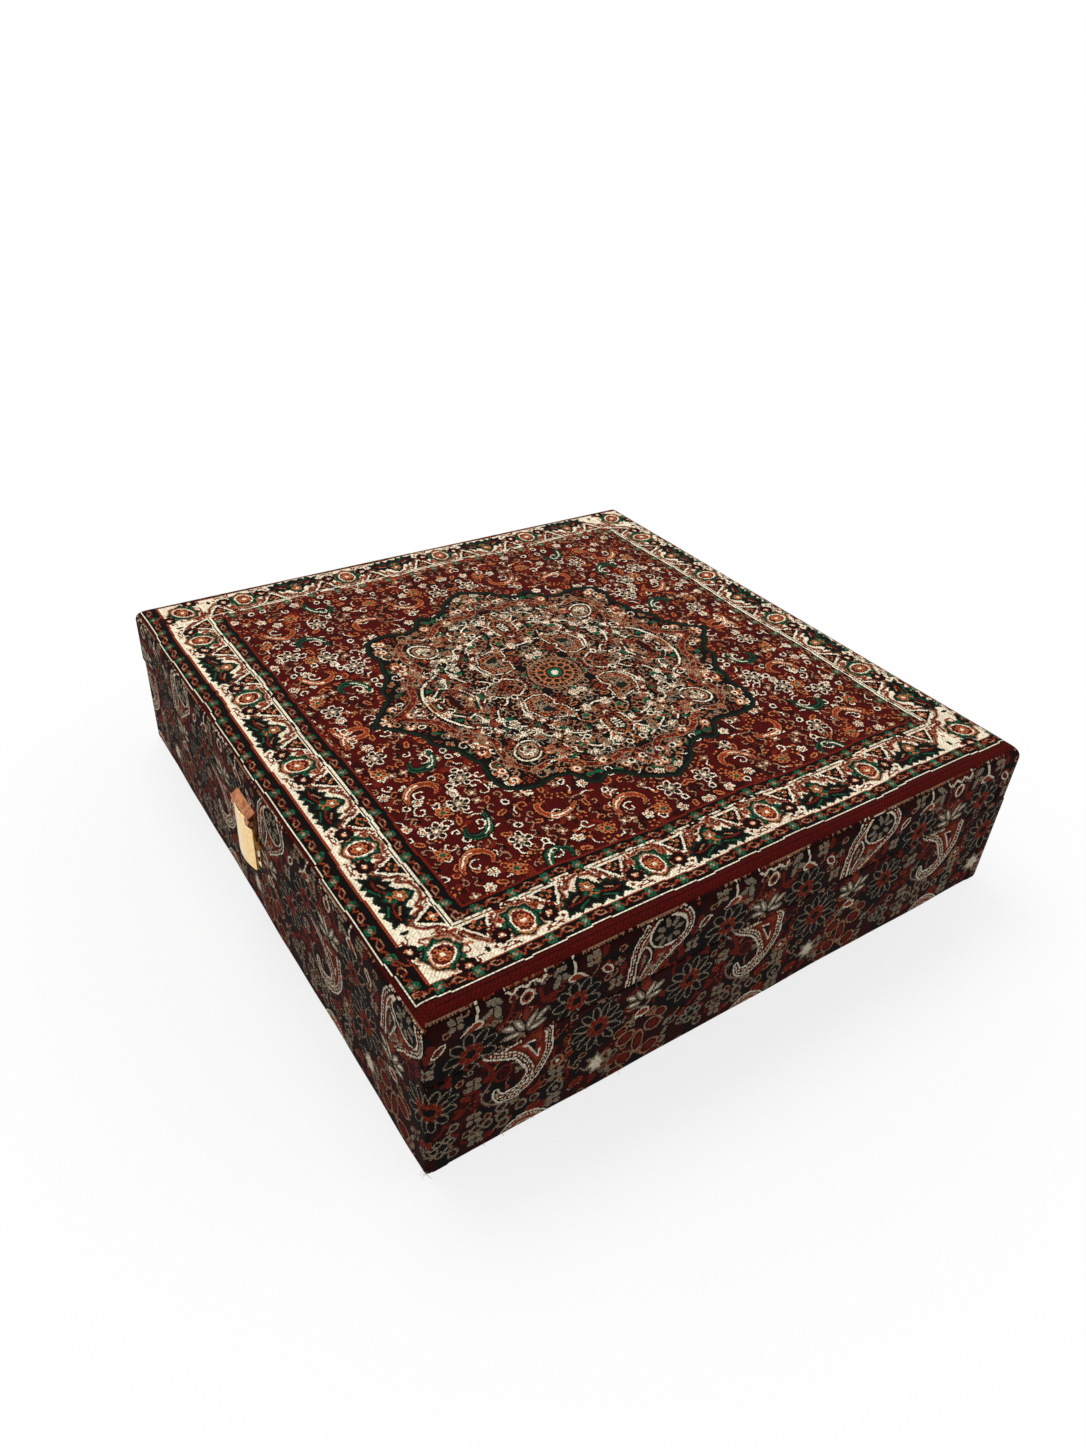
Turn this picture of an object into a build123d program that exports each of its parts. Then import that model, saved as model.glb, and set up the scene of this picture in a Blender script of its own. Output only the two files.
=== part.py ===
"""Cloth covered serving box: a square base with nine cells, a hinged lid and a small hasp.

The origin is the centre of the underside. +Z is up, -Y is the front with the hasp,
and +Y is the back with the two hinges. Lengths are in millimetres, angles in degrees.
"""
from math import hypot
import os

from build123d import *

os.makedirs("parts", exist_ok=True)

# Outside of the closed box
box_width = 302.0
box_depth = 300.0
box_height = 77.0
base_height = 48.1
seam_gap = 0.5
lid_shift = 0.8  # the lid sits this far towards the front
corner_radius = 1.6
edge_radius = 6.0  # padded top edge of the lid

# Boards, cloth and padding
wall = 6.0
panel = 4.0
cloth = 0.8
foam = 2.5
lining = 0.8
felt = 1.0
table_gap = 0.2  # the turned-under cloth stays this far above the table
turn_under = 14.0
turn_in = 8.0

# Dividers
cells = 3  # along each side
divider = 3.0
divider_below_rim = 5.6
lap_gap = 0.1

# Back hinges
hinge_distance = 180.0  # between the middles of the two hinges
hinge_width = 26.0
leaf = 0.8
leaf_height = 12.0
knuckle_radius = 1.9
knuckle_clear = 0.35
pin_radius = 0.7
running_gap = 0.05
side_gap = 0.2
notch_gap = 0.35
opening_angle = 105.0
stop_length = 5.0
stop_gap = 0.2

# Hinge screws
screw_radius = 0.9
screw_head_radius = 1.9
screw_head = 0.6
screw_length = 6.0
screw_spacing = 16.0
screw_rise = 7.5  # from the hinge axis

# Hasp on the front
latch_width = 20.0
plate_width = 19.0
plate = 0.8
plate_edge_gap = 0.5
latch_rise = 6.8  # hinge axis of the flap above the seam
latch_stand = 2.0  # hinge axis of the flap in front of the lid
latch_knuckle_radius = 1.6
latch_knuckle_width = 11.8
latch_pin_radius = 0.6
hood = 0.8  # sheet that slopes forward over the flap's hinge
hood_reach = 3.4
hood_rise = 5.4  # its top edge on the lid, above the hinge axis
hood_fall = 2.2
flap_drop = 24.2
flap_sheet = 0.8
flap_front = 2.0  # middle of the flap's face in front of its axis
flap_bow = 1.6  # the face's edges lie this far behind its middle
flap_flange = 0.9  # the side flanges reach this far behind the axis
flap_edge = 0.4
catch_drop = 17.3  # catch plate below the seam
catch_width = 9.0
catch_height = 5.0
catch_depth = 2.4
catch_below = 9.8  # middle of the catch below the seam
catch_edge = 0.6

# Hasp nails
nail_radius = 0.5
nail_head_radius = 1.3
nail_head = 0.5
nail_length = 5.0
lid_nail_spacing = 11.0
lid_nail_rise = 2.9
catch_nail_spacing = 14.4
catch_nail_drop = 14.4

# Sizes that follow
board_width = box_width - 2 * cloth
board_depth = box_depth - 2 * cloth
inside_width = board_width - 2 * wall
inside_depth = board_depth - 2 * wall
clear_width = inside_width - 2 * lining
clear_depth = inside_depth - 2 * lining
board_corner = corner_radius - cloth
floor_height = felt + panel
lid_low = base_height + seam_gap
seam_height = base_height + seam_gap / 2
ceiling_height = box_height - cloth - foam - panel
cell_width = (clear_width - (cells - 1) * divider) / cells
cell_depth = (clear_depth - (cells - 1) * divider) / cells
divider_low = floor_height + lining
divider_height = base_height - divider_below_rim - divider_low

base_back = box_depth / 2
base_front = -box_depth / 2
lid_back = base_back - lid_shift
lid_front = base_front - lid_shift
lid_centre = (0, -lid_shift)

hinge_axis_y = base_back + knuckle_clear + knuckle_radius
latch_axis_y = lid_front - latch_stand
latch_axis_z = seam_height + latch_rise


def level(height, centre=(0, 0)):
    """Horizontal plane at a height, about a centre in plan."""
    return Plane(origin=(centre[0], centre[1], height))


def slab(width, depth, low, high, centre=(0, 0), corner=0.0):
    """Board or sheet with upright edges rounded to a corner radius."""
    with BuildPart() as board:
        with BuildSketch(level(low, centre)):
            Rectangle(width, depth)
        extrude(amount=high - low)
        if corner > 0:
            fillet(board.edges().filter_by(Axis.Z), corner)
    return board.part


def pillow_block(width, depth, low, high, corner, edge):
    """Lid-shaped block: quarter rounds along the top edges, mitred at the corners."""
    upright = slab(width, depth, low, high, lid_centre, corner)
    with BuildPart() as block:
        add(upright)
        for plane, span in ((Plane.XZ, width), (Plane.YZ, depth)):
            across = lid_centre[0] if plane == Plane.XZ else lid_centre[1]
            with BuildSketch(plane):
                with Locations((across, (low + high) / 2)):
                    Rectangle(span, high - low)
                fillet(vertices().group_by(Axis.Y)[-1], edge)
            extrude(amount=width + depth, both=True, mode=Mode.INTERSECT)
    return block.part


def fasteners(face, points, head_radius, head_height, radius, length):
    """Nails or screws driven square into a face, with tapered heads on the outside."""
    with BuildPart() as group:
        with BuildSketch(face):
            with Locations(*points):
                Circle(head_radius)
        extrude(amount=head_height, taper=30)
        with BuildSketch(face):
            with Locations(*points):
                Circle(radius)
        extrude(amount=-length)
    return group.part


def wall_boards(low, high, centre, drilled):
    """Four side boards: full-length front and back, and left and right between them."""
    boards = {}
    for side, way in (("front", -1), ("back", 1)):
        middle = (centre[0], centre[1] + way * (board_depth - wall) / 2)
        with BuildPart() as board:
            with BuildSketch(level(low, middle)):
                Rectangle(board_width, wall)
            extrude(amount=high - low)
            outer = board.edges().filter_by(Axis.Z).group_by(Axis.Y)[-1 if way > 0 else 0]
            fillet(outer, board_corner)
            add(drilled[side], mode=Mode.SUBTRACT)
        boards[side] = board.part
    for side, way in (("left", -1), ("right", 1)):
        middle = (centre[0] + way * (board_width - wall) / 2, centre[1])
        boards[side] = slab(wall, board_depth - 2 * wall, low, high, middle)
    return boards


def ring(outer, inner, low, high, centre=(0, 0)):
    """Upright band between two rectangles."""
    with BuildPart() as band:
        with BuildSketch(level(low, centre)):
            Rectangle(*outer)
            Rectangle(*inner, mode=Mode.SUBTRACT)
        extrude(amount=high - low)
    return band.part


def hinge_knuckle_spans(centre_x):
    """Stretches of the barrel along X: both ends turn with the base, the middle with the lid."""
    third = hinge_width / 3
    left, right = centre_x - hinge_width / 2, centre_x + hinge_width / 2
    ends = [(left, left + third - side_gap / 2), (right - third + side_gap / 2, right)]
    middle = [(left + third + side_gap / 2, right - third - side_gap / 2)]
    return ends, middle


def hinge_leaf(centre_x, face_y, rise, own_spans, other_spans, bore, screws):
    """Leaf on a back face with its knuckles; rise is +1 above the seam and -1 below it."""
    web_high = knuckle_radius * 0.85
    with BuildPart() as part:
        with BuildSketch(Plane.YZ.offset(centre_x - hinge_width / 2)):
            with Locations((face_y + leaf / 2, seam_height + rise * (seam_gap / 2 + leaf_height / 2))):
                Rectangle(leaf, leaf_height)
        extrude(amount=hinge_width)
        fillet(part.edges().filter_by(Axis.Y).group_by(Axis.Z)[-1 if rise > 0 else 0], 1.5 * leaf)
        for low_x, high_x in other_spans:
            with BuildSketch(Plane.YZ.offset(low_x - side_gap)):
                with Locations((face_y, seam_height)):
                    Rectangle(4 * leaf, 2 * (knuckle_radius + notch_gap))
            extrude(amount=high_x - low_x + 2 * side_gap, mode=Mode.SUBTRACT)
        for low_x, high_x in own_spans:
            with BuildSketch(Plane.YZ.offset(low_x)):
                with Locations((hinge_axis_y, seam_height)):
                    Circle(knuckle_radius)
                web_middle = seam_height + rise * (seam_gap / 2 + web_high) / 2
                with Locations(((face_y + hinge_axis_y) / 2, web_middle)):
                    Rectangle(hinge_axis_y - face_y, web_high - seam_gap / 2)
            extrude(amount=high_x - low_x)
            if rise < 0:
                with BuildSketch(Plane.YZ.offset(low_x)):
                    with Locations(Location((hinge_axis_y, seam_height), 90 - opening_angle)):
                        with Locations((0, stop_face - leaf)):
                            Rectangle(stop_length, leaf, align=Align.MIN)
                extrude(amount=high_x - low_x)
        with BuildSketch(Plane.YZ.offset(centre_x - hinge_width / 2)):
            with Locations((hinge_axis_y, seam_height)):
                Circle(bore)
        extrude(amount=hinge_width, mode=Mode.SUBTRACT)
        add(screws, mode=Mode.SUBTRACT)
    return part.part


def rod(centre_x, length, y, z, radius):
    """Round pin lying along X."""
    with BuildPart() as pin:
        with BuildSketch(Plane.YZ.offset(centre_x - length / 2)):
            with Locations((y, z)):
                Circle(radius)
        extrude(amount=length)
    return pin.part


# Screws and nails
hinge_centres = {"left": -hinge_distance / 2, "right": hinge_distance / 2}
screw_columns = [x + s * screw_spacing / 2 for x in hinge_centres.values() for s in (-1, 1)]


def back_face(y):
    """Upright plane at the back, looking out along +Y, with its y axis along +Z."""
    return Plane(origin=(0, y, 0), x_dir=(-1, 0, 0), z_dir=(0, 1, 0))


def front_face(y):
    """Upright plane at the front, looking out along -Y, with its y axis along +Z."""
    return Plane(origin=(0, y, 0), x_dir=(1, 0, 0), z_dir=(0, -1, 0))


base_hinge_screws = fasteners(
    back_face(base_back + leaf),
    [(x, seam_height - screw_rise) for x in screw_columns],
    screw_head_radius, screw_head, screw_radius, screw_length,
)
lid_hinge_screws = fasteners(
    back_face(lid_back + leaf),
    [(x, seam_height + screw_rise) for x in screw_columns],
    screw_head_radius, screw_head, screw_radius, screw_length,
)
latch_lid_nails = fasteners(
    front_face(lid_front - plate),
    [(s * lid_nail_spacing / 2, seam_height + lid_nail_rise) for s in (-1, 1)],
    nail_head_radius, nail_head, nail_radius, nail_length,
)
latch_catch_nails = fasteners(
    front_face(base_front - plate),
    [(s * catch_nail_spacing / 2, seam_height - catch_nail_drop) for s in (-1, 1)],
    nail_head_radius, nail_head, nail_radius, nail_length,
)

# Base tray
underside_felt = slab(board_width - 2 * turn_under, board_depth - 2 * turn_under, 0, felt)
base_bottom_panel = slab(board_width, board_depth, felt, floor_height, corner=board_corner)
base_walls = wall_boards(
    floor_height, base_height - cloth, (0, 0),
    {"front": latch_catch_nails, "back": base_hinge_screws},
)
base_board_block = slab(board_width, board_depth, felt, base_height - cloth, corner=board_corner)
base_turned_cloth = ring(
    (inside_width, inside_depth), (clear_width, clear_depth), base_height - turn_in, base_height - cloth
)

with BuildPart() as base_cover_cloth:
    with BuildSketch(level(table_gap)):
        RectangleRounded(box_width, box_depth, corner_radius)
    extrude(amount=base_height - table_gap)
    chamfer(base_cover_cloth.faces().sort_by(Axis.Z)[0].edges(), cloth / 2)
    add(base_board_block, mode=Mode.SUBTRACT)
    with BuildSketch(level(table_gap)):
        Rectangle(board_width - 2 * turn_under, board_depth - 2 * turn_under)
    extrude(amount=felt - table_gap, mode=Mode.SUBTRACT)
    with BuildSketch(level(base_height - cloth)):
        Rectangle(clear_width, clear_depth)
    extrude(amount=cloth, mode=Mode.SUBTRACT)
    add(base_turned_cloth)
    add(latch_catch_nails, mode=Mode.SUBTRACT)
    add(base_hinge_screws, mode=Mode.SUBTRACT)

base_floor_lining = slab(inside_width, inside_depth, floor_height, divider_low)
base_wall_lining = ring(
    (inside_width, inside_depth), (clear_width, clear_depth), divider_low, base_height - turn_in
)

# Half-lapped dividers
column_lines = [(n - cells / 2) * (cell_width + divider) for n in range(1, cells)]
row_lines = [(n - cells / 2) * (cell_depth + divider) for n in range(1, cells)]
lap_height = divider_height / 2 + lap_gap / 2
slot = divider + 2 * lap_gap
dividers = {}
for number, row_y in enumerate(row_lines, 1):
    with BuildPart() as lengthwise:
        with BuildSketch(level(divider_low, (0, row_y))):
            Rectangle(clear_width, divider)
        extrude(amount=divider_height)
        with BuildSketch(level(divider_low + divider_height, (0, row_y))):
            with Locations(*[(x, 0) for x in column_lines]):
                Rectangle(slot, divider)
        extrude(amount=-lap_height, mode=Mode.SUBTRACT)
    dividers[f"divider_lengthwise_{number}"] = lengthwise.part
for number, column_x in enumerate(column_lines, 1):
    with BuildPart() as crosswise:
        with BuildSketch(level(divider_low, (column_x, 0))):
            Rectangle(divider, clear_depth)
        extrude(amount=divider_height)
        with BuildSketch(level(divider_low, (column_x, 0))):
            with Locations(*[(0, y) for y in row_lines]):
                Rectangle(divider, slot)
        extrude(amount=lap_height, mode=Mode.SUBTRACT)
    dividers[f"divider_crosswise_{number}"] = crosswise.part

# Lid
lid_outside = pillow_block(box_width, box_depth, lid_low, box_height, corner_radius, edge_radius)
lid_board_block = pillow_block(
    board_width, board_depth, lid_low + cloth, box_height - cloth, board_corner, edge_radius - cloth
)
lid_walls = wall_boards(
    lid_low + cloth, ceiling_height, lid_centre,
    {"front": latch_lid_nails, "back": lid_hinge_screws},
)
lid_turned_cloth = ring(
    (inside_width, inside_depth), (clear_width, clear_depth),
    lid_low + cloth, lid_low + turn_in, lid_centre,
)

with BuildPart() as lid_top_panel:
    with BuildSketch(level(ceiling_height, lid_centre)):
        Rectangle(board_width, board_depth)
    extrude(amount=panel)
    add(lid_board_block, mode=Mode.INTERSECT)

with BuildPart() as lid_foam_pad:
    with BuildSketch(level(ceiling_height + panel, lid_centre)):
        Rectangle(board_width, board_depth)
    extrude(amount=foam)
    add(lid_board_block, mode=Mode.INTERSECT)

with BuildPart() as lid_cover_cloth:
    add(lid_outside)
    add(lid_board_block, mode=Mode.SUBTRACT)
    with BuildSketch(level(lid_low, lid_centre)):
        Rectangle(clear_width, clear_depth)
    extrude(amount=cloth, mode=Mode.SUBTRACT)
    add(lid_turned_cloth)
    add(latch_lid_nails, mode=Mode.SUBTRACT)
    add(lid_hinge_screws, mode=Mode.SUBTRACT)

lid_top_lining = slab(inside_width, inside_depth, ceiling_height - lining, ceiling_height, lid_centre)
lid_wall_lining = ring(
    (inside_width, inside_depth), (clear_width, clear_depth),
    lid_low + turn_in, ceiling_height - lining, lid_centre,
)

# Back hinges; the base leaf's tail stops the lid leaf at the opening angle
stop_face = hinge_axis_y - lid_back - leaf - stop_gap
hinges = {}
for side, centre_x in hinge_centres.items():
    ends, middle = hinge_knuckle_spans(centre_x)
    hinges[f"hinge_{side}_base_leaf"] = hinge_leaf(
        centre_x, base_back, -1, ends, middle, pin_radius, base_hinge_screws
    )
    hinges[f"hinge_{side}_lid_leaf"] = hinge_leaf(
        centre_x, lid_back, 1, middle, ends, pin_radius + running_gap, lid_hinge_screws
    )
    hinges[f"hinge_{side}_pin"] = rod(centre_x, hinge_width, hinge_axis_y, seam_height, pin_radius)

# Hasp: lid plate with two end knuckles and a hood over the flap's hinge
end_knuckle = (plate_width - latch_knuckle_width) / 2 - side_gap
knuckle_notch = latch_knuckle_radius + notch_gap
flap_sweep = hypot(flap_front, latch_knuckle_radius) + side_gap
lid_plate_low = lid_low + plate_edge_gap
lid_plate_high = latch_axis_z + hood_rise - hood
with BuildPart() as latch_lid_plate:
    with BuildSketch(front_face(lid_front)):
        with Locations((0, (lid_plate_low + lid_plate_high) / 2)):
            Rectangle(plate_width, lid_plate_high - lid_plate_low)
    extrude(amount=plate)
    with BuildSketch(front_face(lid_front)):
        with Locations((0, latch_axis_z + (flap_sweep - knuckle_notch) / 2)):
            Rectangle(latch_knuckle_width + 2 * side_gap, flap_sweep + knuckle_notch)
    extrude(amount=plate, mode=Mode.SUBTRACT)
    with BuildSketch(Plane.YZ.offset(-plate_width / 2)):
        with BuildLine():
            Polyline(
                (lid_front, latch_axis_z + hood_rise),
                (lid_front - hood_reach, latch_axis_z + hood_rise - hood_fall),
                (lid_front - hood_reach, latch_axis_z + hood_rise - hood_fall - hood),
                (lid_front, latch_axis_z + hood_rise - hood),
                close=True,
            )
        make_face()
    extrude(amount=plate_width)
    for way in (-1, 1):
        low_x = way * (plate_width - end_knuckle) / 2 - end_knuckle / 2
        with BuildSketch(Plane.YZ.offset(low_x)):
            with Locations((latch_axis_y, latch_axis_z)):
                Circle(latch_knuckle_radius)
            with Locations(((lid_front + latch_axis_y) / 2, latch_axis_z)):
                Rectangle(latch_stand, latch_knuckle_radius)
            with Locations((latch_axis_y, latch_axis_z)):
                Circle(latch_pin_radius, mode=Mode.SUBTRACT)
        extrude(amount=end_knuckle)
    add(latch_lid_nails, mode=Mode.SUBTRACT)

# Hasp: bowed flap that hangs over the catch
flap_low = latch_axis_z - flap_drop
flap_high = latch_axis_z + latch_knuckle_radius
flap_face_y = latch_axis_y - flap_front
flap_back_y = latch_axis_y + flap_flange
half_width = latch_width / 2


def flap_outline(inset, back_y):
    """Plan of the flap: a bowed face and two straight sides, moved in by an inset."""
    side_x = half_width - inset
    with BuildLine() as outline:
        ThreePointArc(
            (-side_x, flap_face_y + flap_bow + inset),
            (0, flap_face_y + inset),
            (side_x, flap_face_y + flap_bow + inset),
        )
        Polyline(
            (side_x, flap_face_y + flap_bow + inset),
            (side_x, back_y),
            (-side_x, back_y),
            (-side_x, flap_face_y + flap_bow + inset),
        )
    return outline.line


flap_outside = flap_outline(0, flap_back_y)
flap_hollow = flap_outline(flap_sheet, flap_back_y + flap_sheet)
with BuildPart() as latch_flap:
    with BuildSketch(level(flap_low)):
        add(flap_outside)
        make_face()
    extrude(amount=flap_high - flap_low)
    fillet(latch_flap.edges().filter_by(Axis.Z).group_by(Axis.Y)[0], flap_edge)
    chamfer(latch_flap.faces().sort_by(Axis.Z)[0].edges().sort_by(Axis.Y)[0], flap_edge / 2)
    fillet(latch_flap.faces().sort_by(Axis.Z)[-1].edges().sort_by(Axis.Y)[0], flap_edge)
    with BuildSketch(level(flap_low)):
        add(flap_hollow)
        make_face()
    extrude(amount=flap_high - flap_sheet - flap_low, mode=Mode.SUBTRACT)
    with BuildSketch(level(flap_high, (0, latch_axis_y))):
        Rectangle(latch_width, 2 * flap_front, align=(Align.CENTER, Align.MIN))
        for way in (-1, 1):
            with Locations((way * (latch_knuckle_width + half_width) / 2, 0)):
                Rectangle(half_width, 3 * flap_front)
    extrude(amount=-(flap_high - latch_axis_z + knuckle_notch), mode=Mode.SUBTRACT)
    with BuildSketch(Plane.YZ.offset(-latch_knuckle_width / 2)):
        with Locations((latch_axis_y, latch_axis_z)):
            Circle(latch_knuckle_radius)
    extrude(amount=latch_knuckle_width)
    with BuildSketch(Plane.YZ.offset(-latch_knuckle_width / 2)):
        with Locations((latch_axis_y, latch_axis_z)):
            Circle(latch_pin_radius + running_gap)
    extrude(amount=latch_knuckle_width, mode=Mode.SUBTRACT)

latch_pin = rod(0, plate_width, latch_axis_y, latch_axis_z, latch_pin_radius)

# Hasp: catch plate on the base
catch_plate_high = base_height - plate_edge_gap
catch_plate_low = seam_height - catch_drop
with BuildPart() as latch_catch_plate:
    with BuildSketch(front_face(base_front)):
        with Locations((0, (catch_plate_high + catch_plate_low) / 2)):
            Rectangle(plate_width, catch_plate_high - catch_plate_low)
    extrude(amount=plate)
    with BuildSketch(front_face(base_front - plate)):
        with Locations((0, seam_height - catch_below)):
            Rectangle(catch_width, catch_height)
    extrude(amount=catch_depth)
    fillet(latch_catch_plate.faces().sort_by(Axis.Y)[0].edges(), catch_edge)
    add(latch_catch_nails, mode=Mode.SUBTRACT)

# One named piece per file
pieces = {
    "underside_felt": underside_felt,
    "base_bottom_panel": base_bottom_panel,
    "base_cover_cloth": base_cover_cloth.part,
    "base_floor_lining": base_floor_lining,
    "base_wall_lining": base_wall_lining,
    "lid_top_panel": lid_top_panel.part,
    "lid_foam_pad": lid_foam_pad.part,
    "lid_cover_cloth": lid_cover_cloth.part,
    "lid_top_lining": lid_top_lining,
    "lid_wall_lining": lid_wall_lining,
    "base_hinge_screws": base_hinge_screws,
    "lid_hinge_screws": lid_hinge_screws,
    "latch_lid_plate": latch_lid_plate.part,
    "latch_flap": latch_flap.part,
    "latch_pin": latch_pin,
    "latch_catch_plate": latch_catch_plate.part,
    "latch_lid_nails": latch_lid_nails,
    "latch_catch_nails": latch_catch_nails,
}
pieces.update({f"base_{side}_wall": board for side, board in base_walls.items()})
pieces.update({f"lid_{side}_wall": board for side, board in lid_walls.items()})
pieces.update(dividers)
pieces.update(hinges)
for label, piece in pieces.items():
    piece.label = label
    export_step(piece, f"parts/{label}.step")

print("pieces", len(pieces))
print("cell", round(cell_width, 2), "x", round(cell_depth, 2), "x", round(divider_height, 2))
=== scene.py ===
"""Looks of the cloth covered serving box: two carpet-patterned woven covers, velvet lining, gold hasp.

Blender works in metres. The cloth patterns are laid out in millimetres, like the part, and each
woven thread crossing is one small face whose yarn colour is drawn by the Loom below.
"""
import math

import bpy
import numpy as np
from mathutils import Matrix, Vector


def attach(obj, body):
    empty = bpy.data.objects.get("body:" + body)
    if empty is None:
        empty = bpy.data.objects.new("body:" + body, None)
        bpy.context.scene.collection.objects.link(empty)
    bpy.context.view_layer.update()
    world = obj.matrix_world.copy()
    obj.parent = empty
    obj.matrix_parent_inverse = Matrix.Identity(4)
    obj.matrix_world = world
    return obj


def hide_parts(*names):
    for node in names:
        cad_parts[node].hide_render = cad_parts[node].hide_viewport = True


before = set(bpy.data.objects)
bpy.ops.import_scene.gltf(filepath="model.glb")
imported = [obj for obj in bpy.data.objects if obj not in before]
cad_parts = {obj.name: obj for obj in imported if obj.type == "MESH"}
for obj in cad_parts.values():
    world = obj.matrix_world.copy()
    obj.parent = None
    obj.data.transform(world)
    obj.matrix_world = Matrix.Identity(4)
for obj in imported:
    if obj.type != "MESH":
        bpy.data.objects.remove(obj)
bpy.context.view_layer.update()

MM = 0.001
THREAD = 0.54  # pitch of the woven threads

# Sizes shared with the part, in millimetres
HALF_WIDTH, HALF_DEPTH = 151.0, 150.0
LID_CENTRE = (0.0, -0.8)
TOP, SEAM_LOW, SEAM_HIGH = 77.0, 48.1, 48.6
EDGE, CORNER = 6.0, 1.6
RIM = 7.6  # from the outside of the cloth to its turned-in inside face
CLOTH = 0.8
TURN_IN, TURN_UNDER = 8.0, 14.8
TABLE_GAP = 0.2
FLOOR, CEILING = 5.8, 68.9

# Yarn colours, as they look on screen
YARNS = {
    "black": (0.050, 0.030, 0.026),
    "wine": (0.28, 0.044, 0.033),
    "crimson": (0.29, 0.048, 0.036),
    "maroon": (0.17, 0.030, 0.026),
    "brick": (0.43, 0.120, 0.072),
    "rust": (0.55, 0.215, 0.125),
    "orange": (0.74, 0.42, 0.25),
    "tan": (0.64, 0.47, 0.35),
    "cream": (0.96, 0.89, 0.78),
    "sage": (0.56, 0.50, 0.42),
    "pine": (0.080, 0.125, 0.090),
    "green": (0.10, 0.34, 0.23),
}
CODE = {name: number for number, name in enumerate(YARNS)}
PALETTE = np.array(list(YARNS.values()))


# Drawing with yarn

def smooth(points, closed=False, steps=6):
    """Rounded line through points (Catmull-Rom)."""
    p = np.asarray(points, float)
    if closed:
        p = np.vstack((p[-1], p, p[:2]))
    else:
        p = np.vstack((2 * p[0] - p[1], p, 2 * p[-1] - p[-2]))
    t = np.linspace(0, 1, steps, endpoint=False)[:, None]
    runs = []
    for a, b, c, d in zip(p[:-3], p[1:-2], p[2:-1], p[3:]):
        runs.append(0.5 * (2 * b + (c - a) * t + (2 * a - 5 * b + 4 * c - d) * t**2
                           + (3 * b - a - 3 * c + d) * t**3))
    line = np.vstack(runs)
    return line if closed else np.vstack((line, p[-2]))


def mirrored(points):
    """A half outline followed by its mirror image across x = 0."""
    p = np.asarray(points, float)
    return np.vstack((p, (p * (-1, 1))[::-1]))


def segment_distance(x, y, line):
    """Distance from each place to a polyline, and how far along it the nearest point is."""
    best = np.full(x.shape, 1e9)
    along = np.zeros(x.shape)
    run = 0.0
    for (ax, ay), (bx, by) in zip(line[:-1], line[1:]):
        ex, ey = bx - ax, by - ay
        length = math.hypot(ex, ey)
        if length < 1e-9:
            continue
        t = np.clip(((x - ax) * ex + (y - ay) * ey) / length**2, 0, 1)
        d = np.hypot(x - ax - t * ex, y - ay - t * ey)
        near = d < best
        best = np.where(near, d, best)
        along = np.where(near, run + t * length, along)
        run += length
    return best, along, run


def inside(x, y, outline):
    """True where a place is inside a closed outline."""
    odd = np.zeros(x.shape, bool)
    for (ax, ay), (bx, by) in zip(outline, np.roll(outline, -1, axis=0)):
        if ay == by:
            continue
        crosses = ((ay > y) != (by > y)) & (x < (bx - ax) * (y - ay) / (by - ay) + ax)
        odd ^= crosses
    return odd


def bands(text):
    """Start and yarns of each band, from a text such as "0 cream, 0.7 black, 1.3 cream/rust"."""
    pairs = [band.split() for band in text.split(",")]
    return [(float(start), yarns.split("/")) for start, yarns in pairs]


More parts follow.
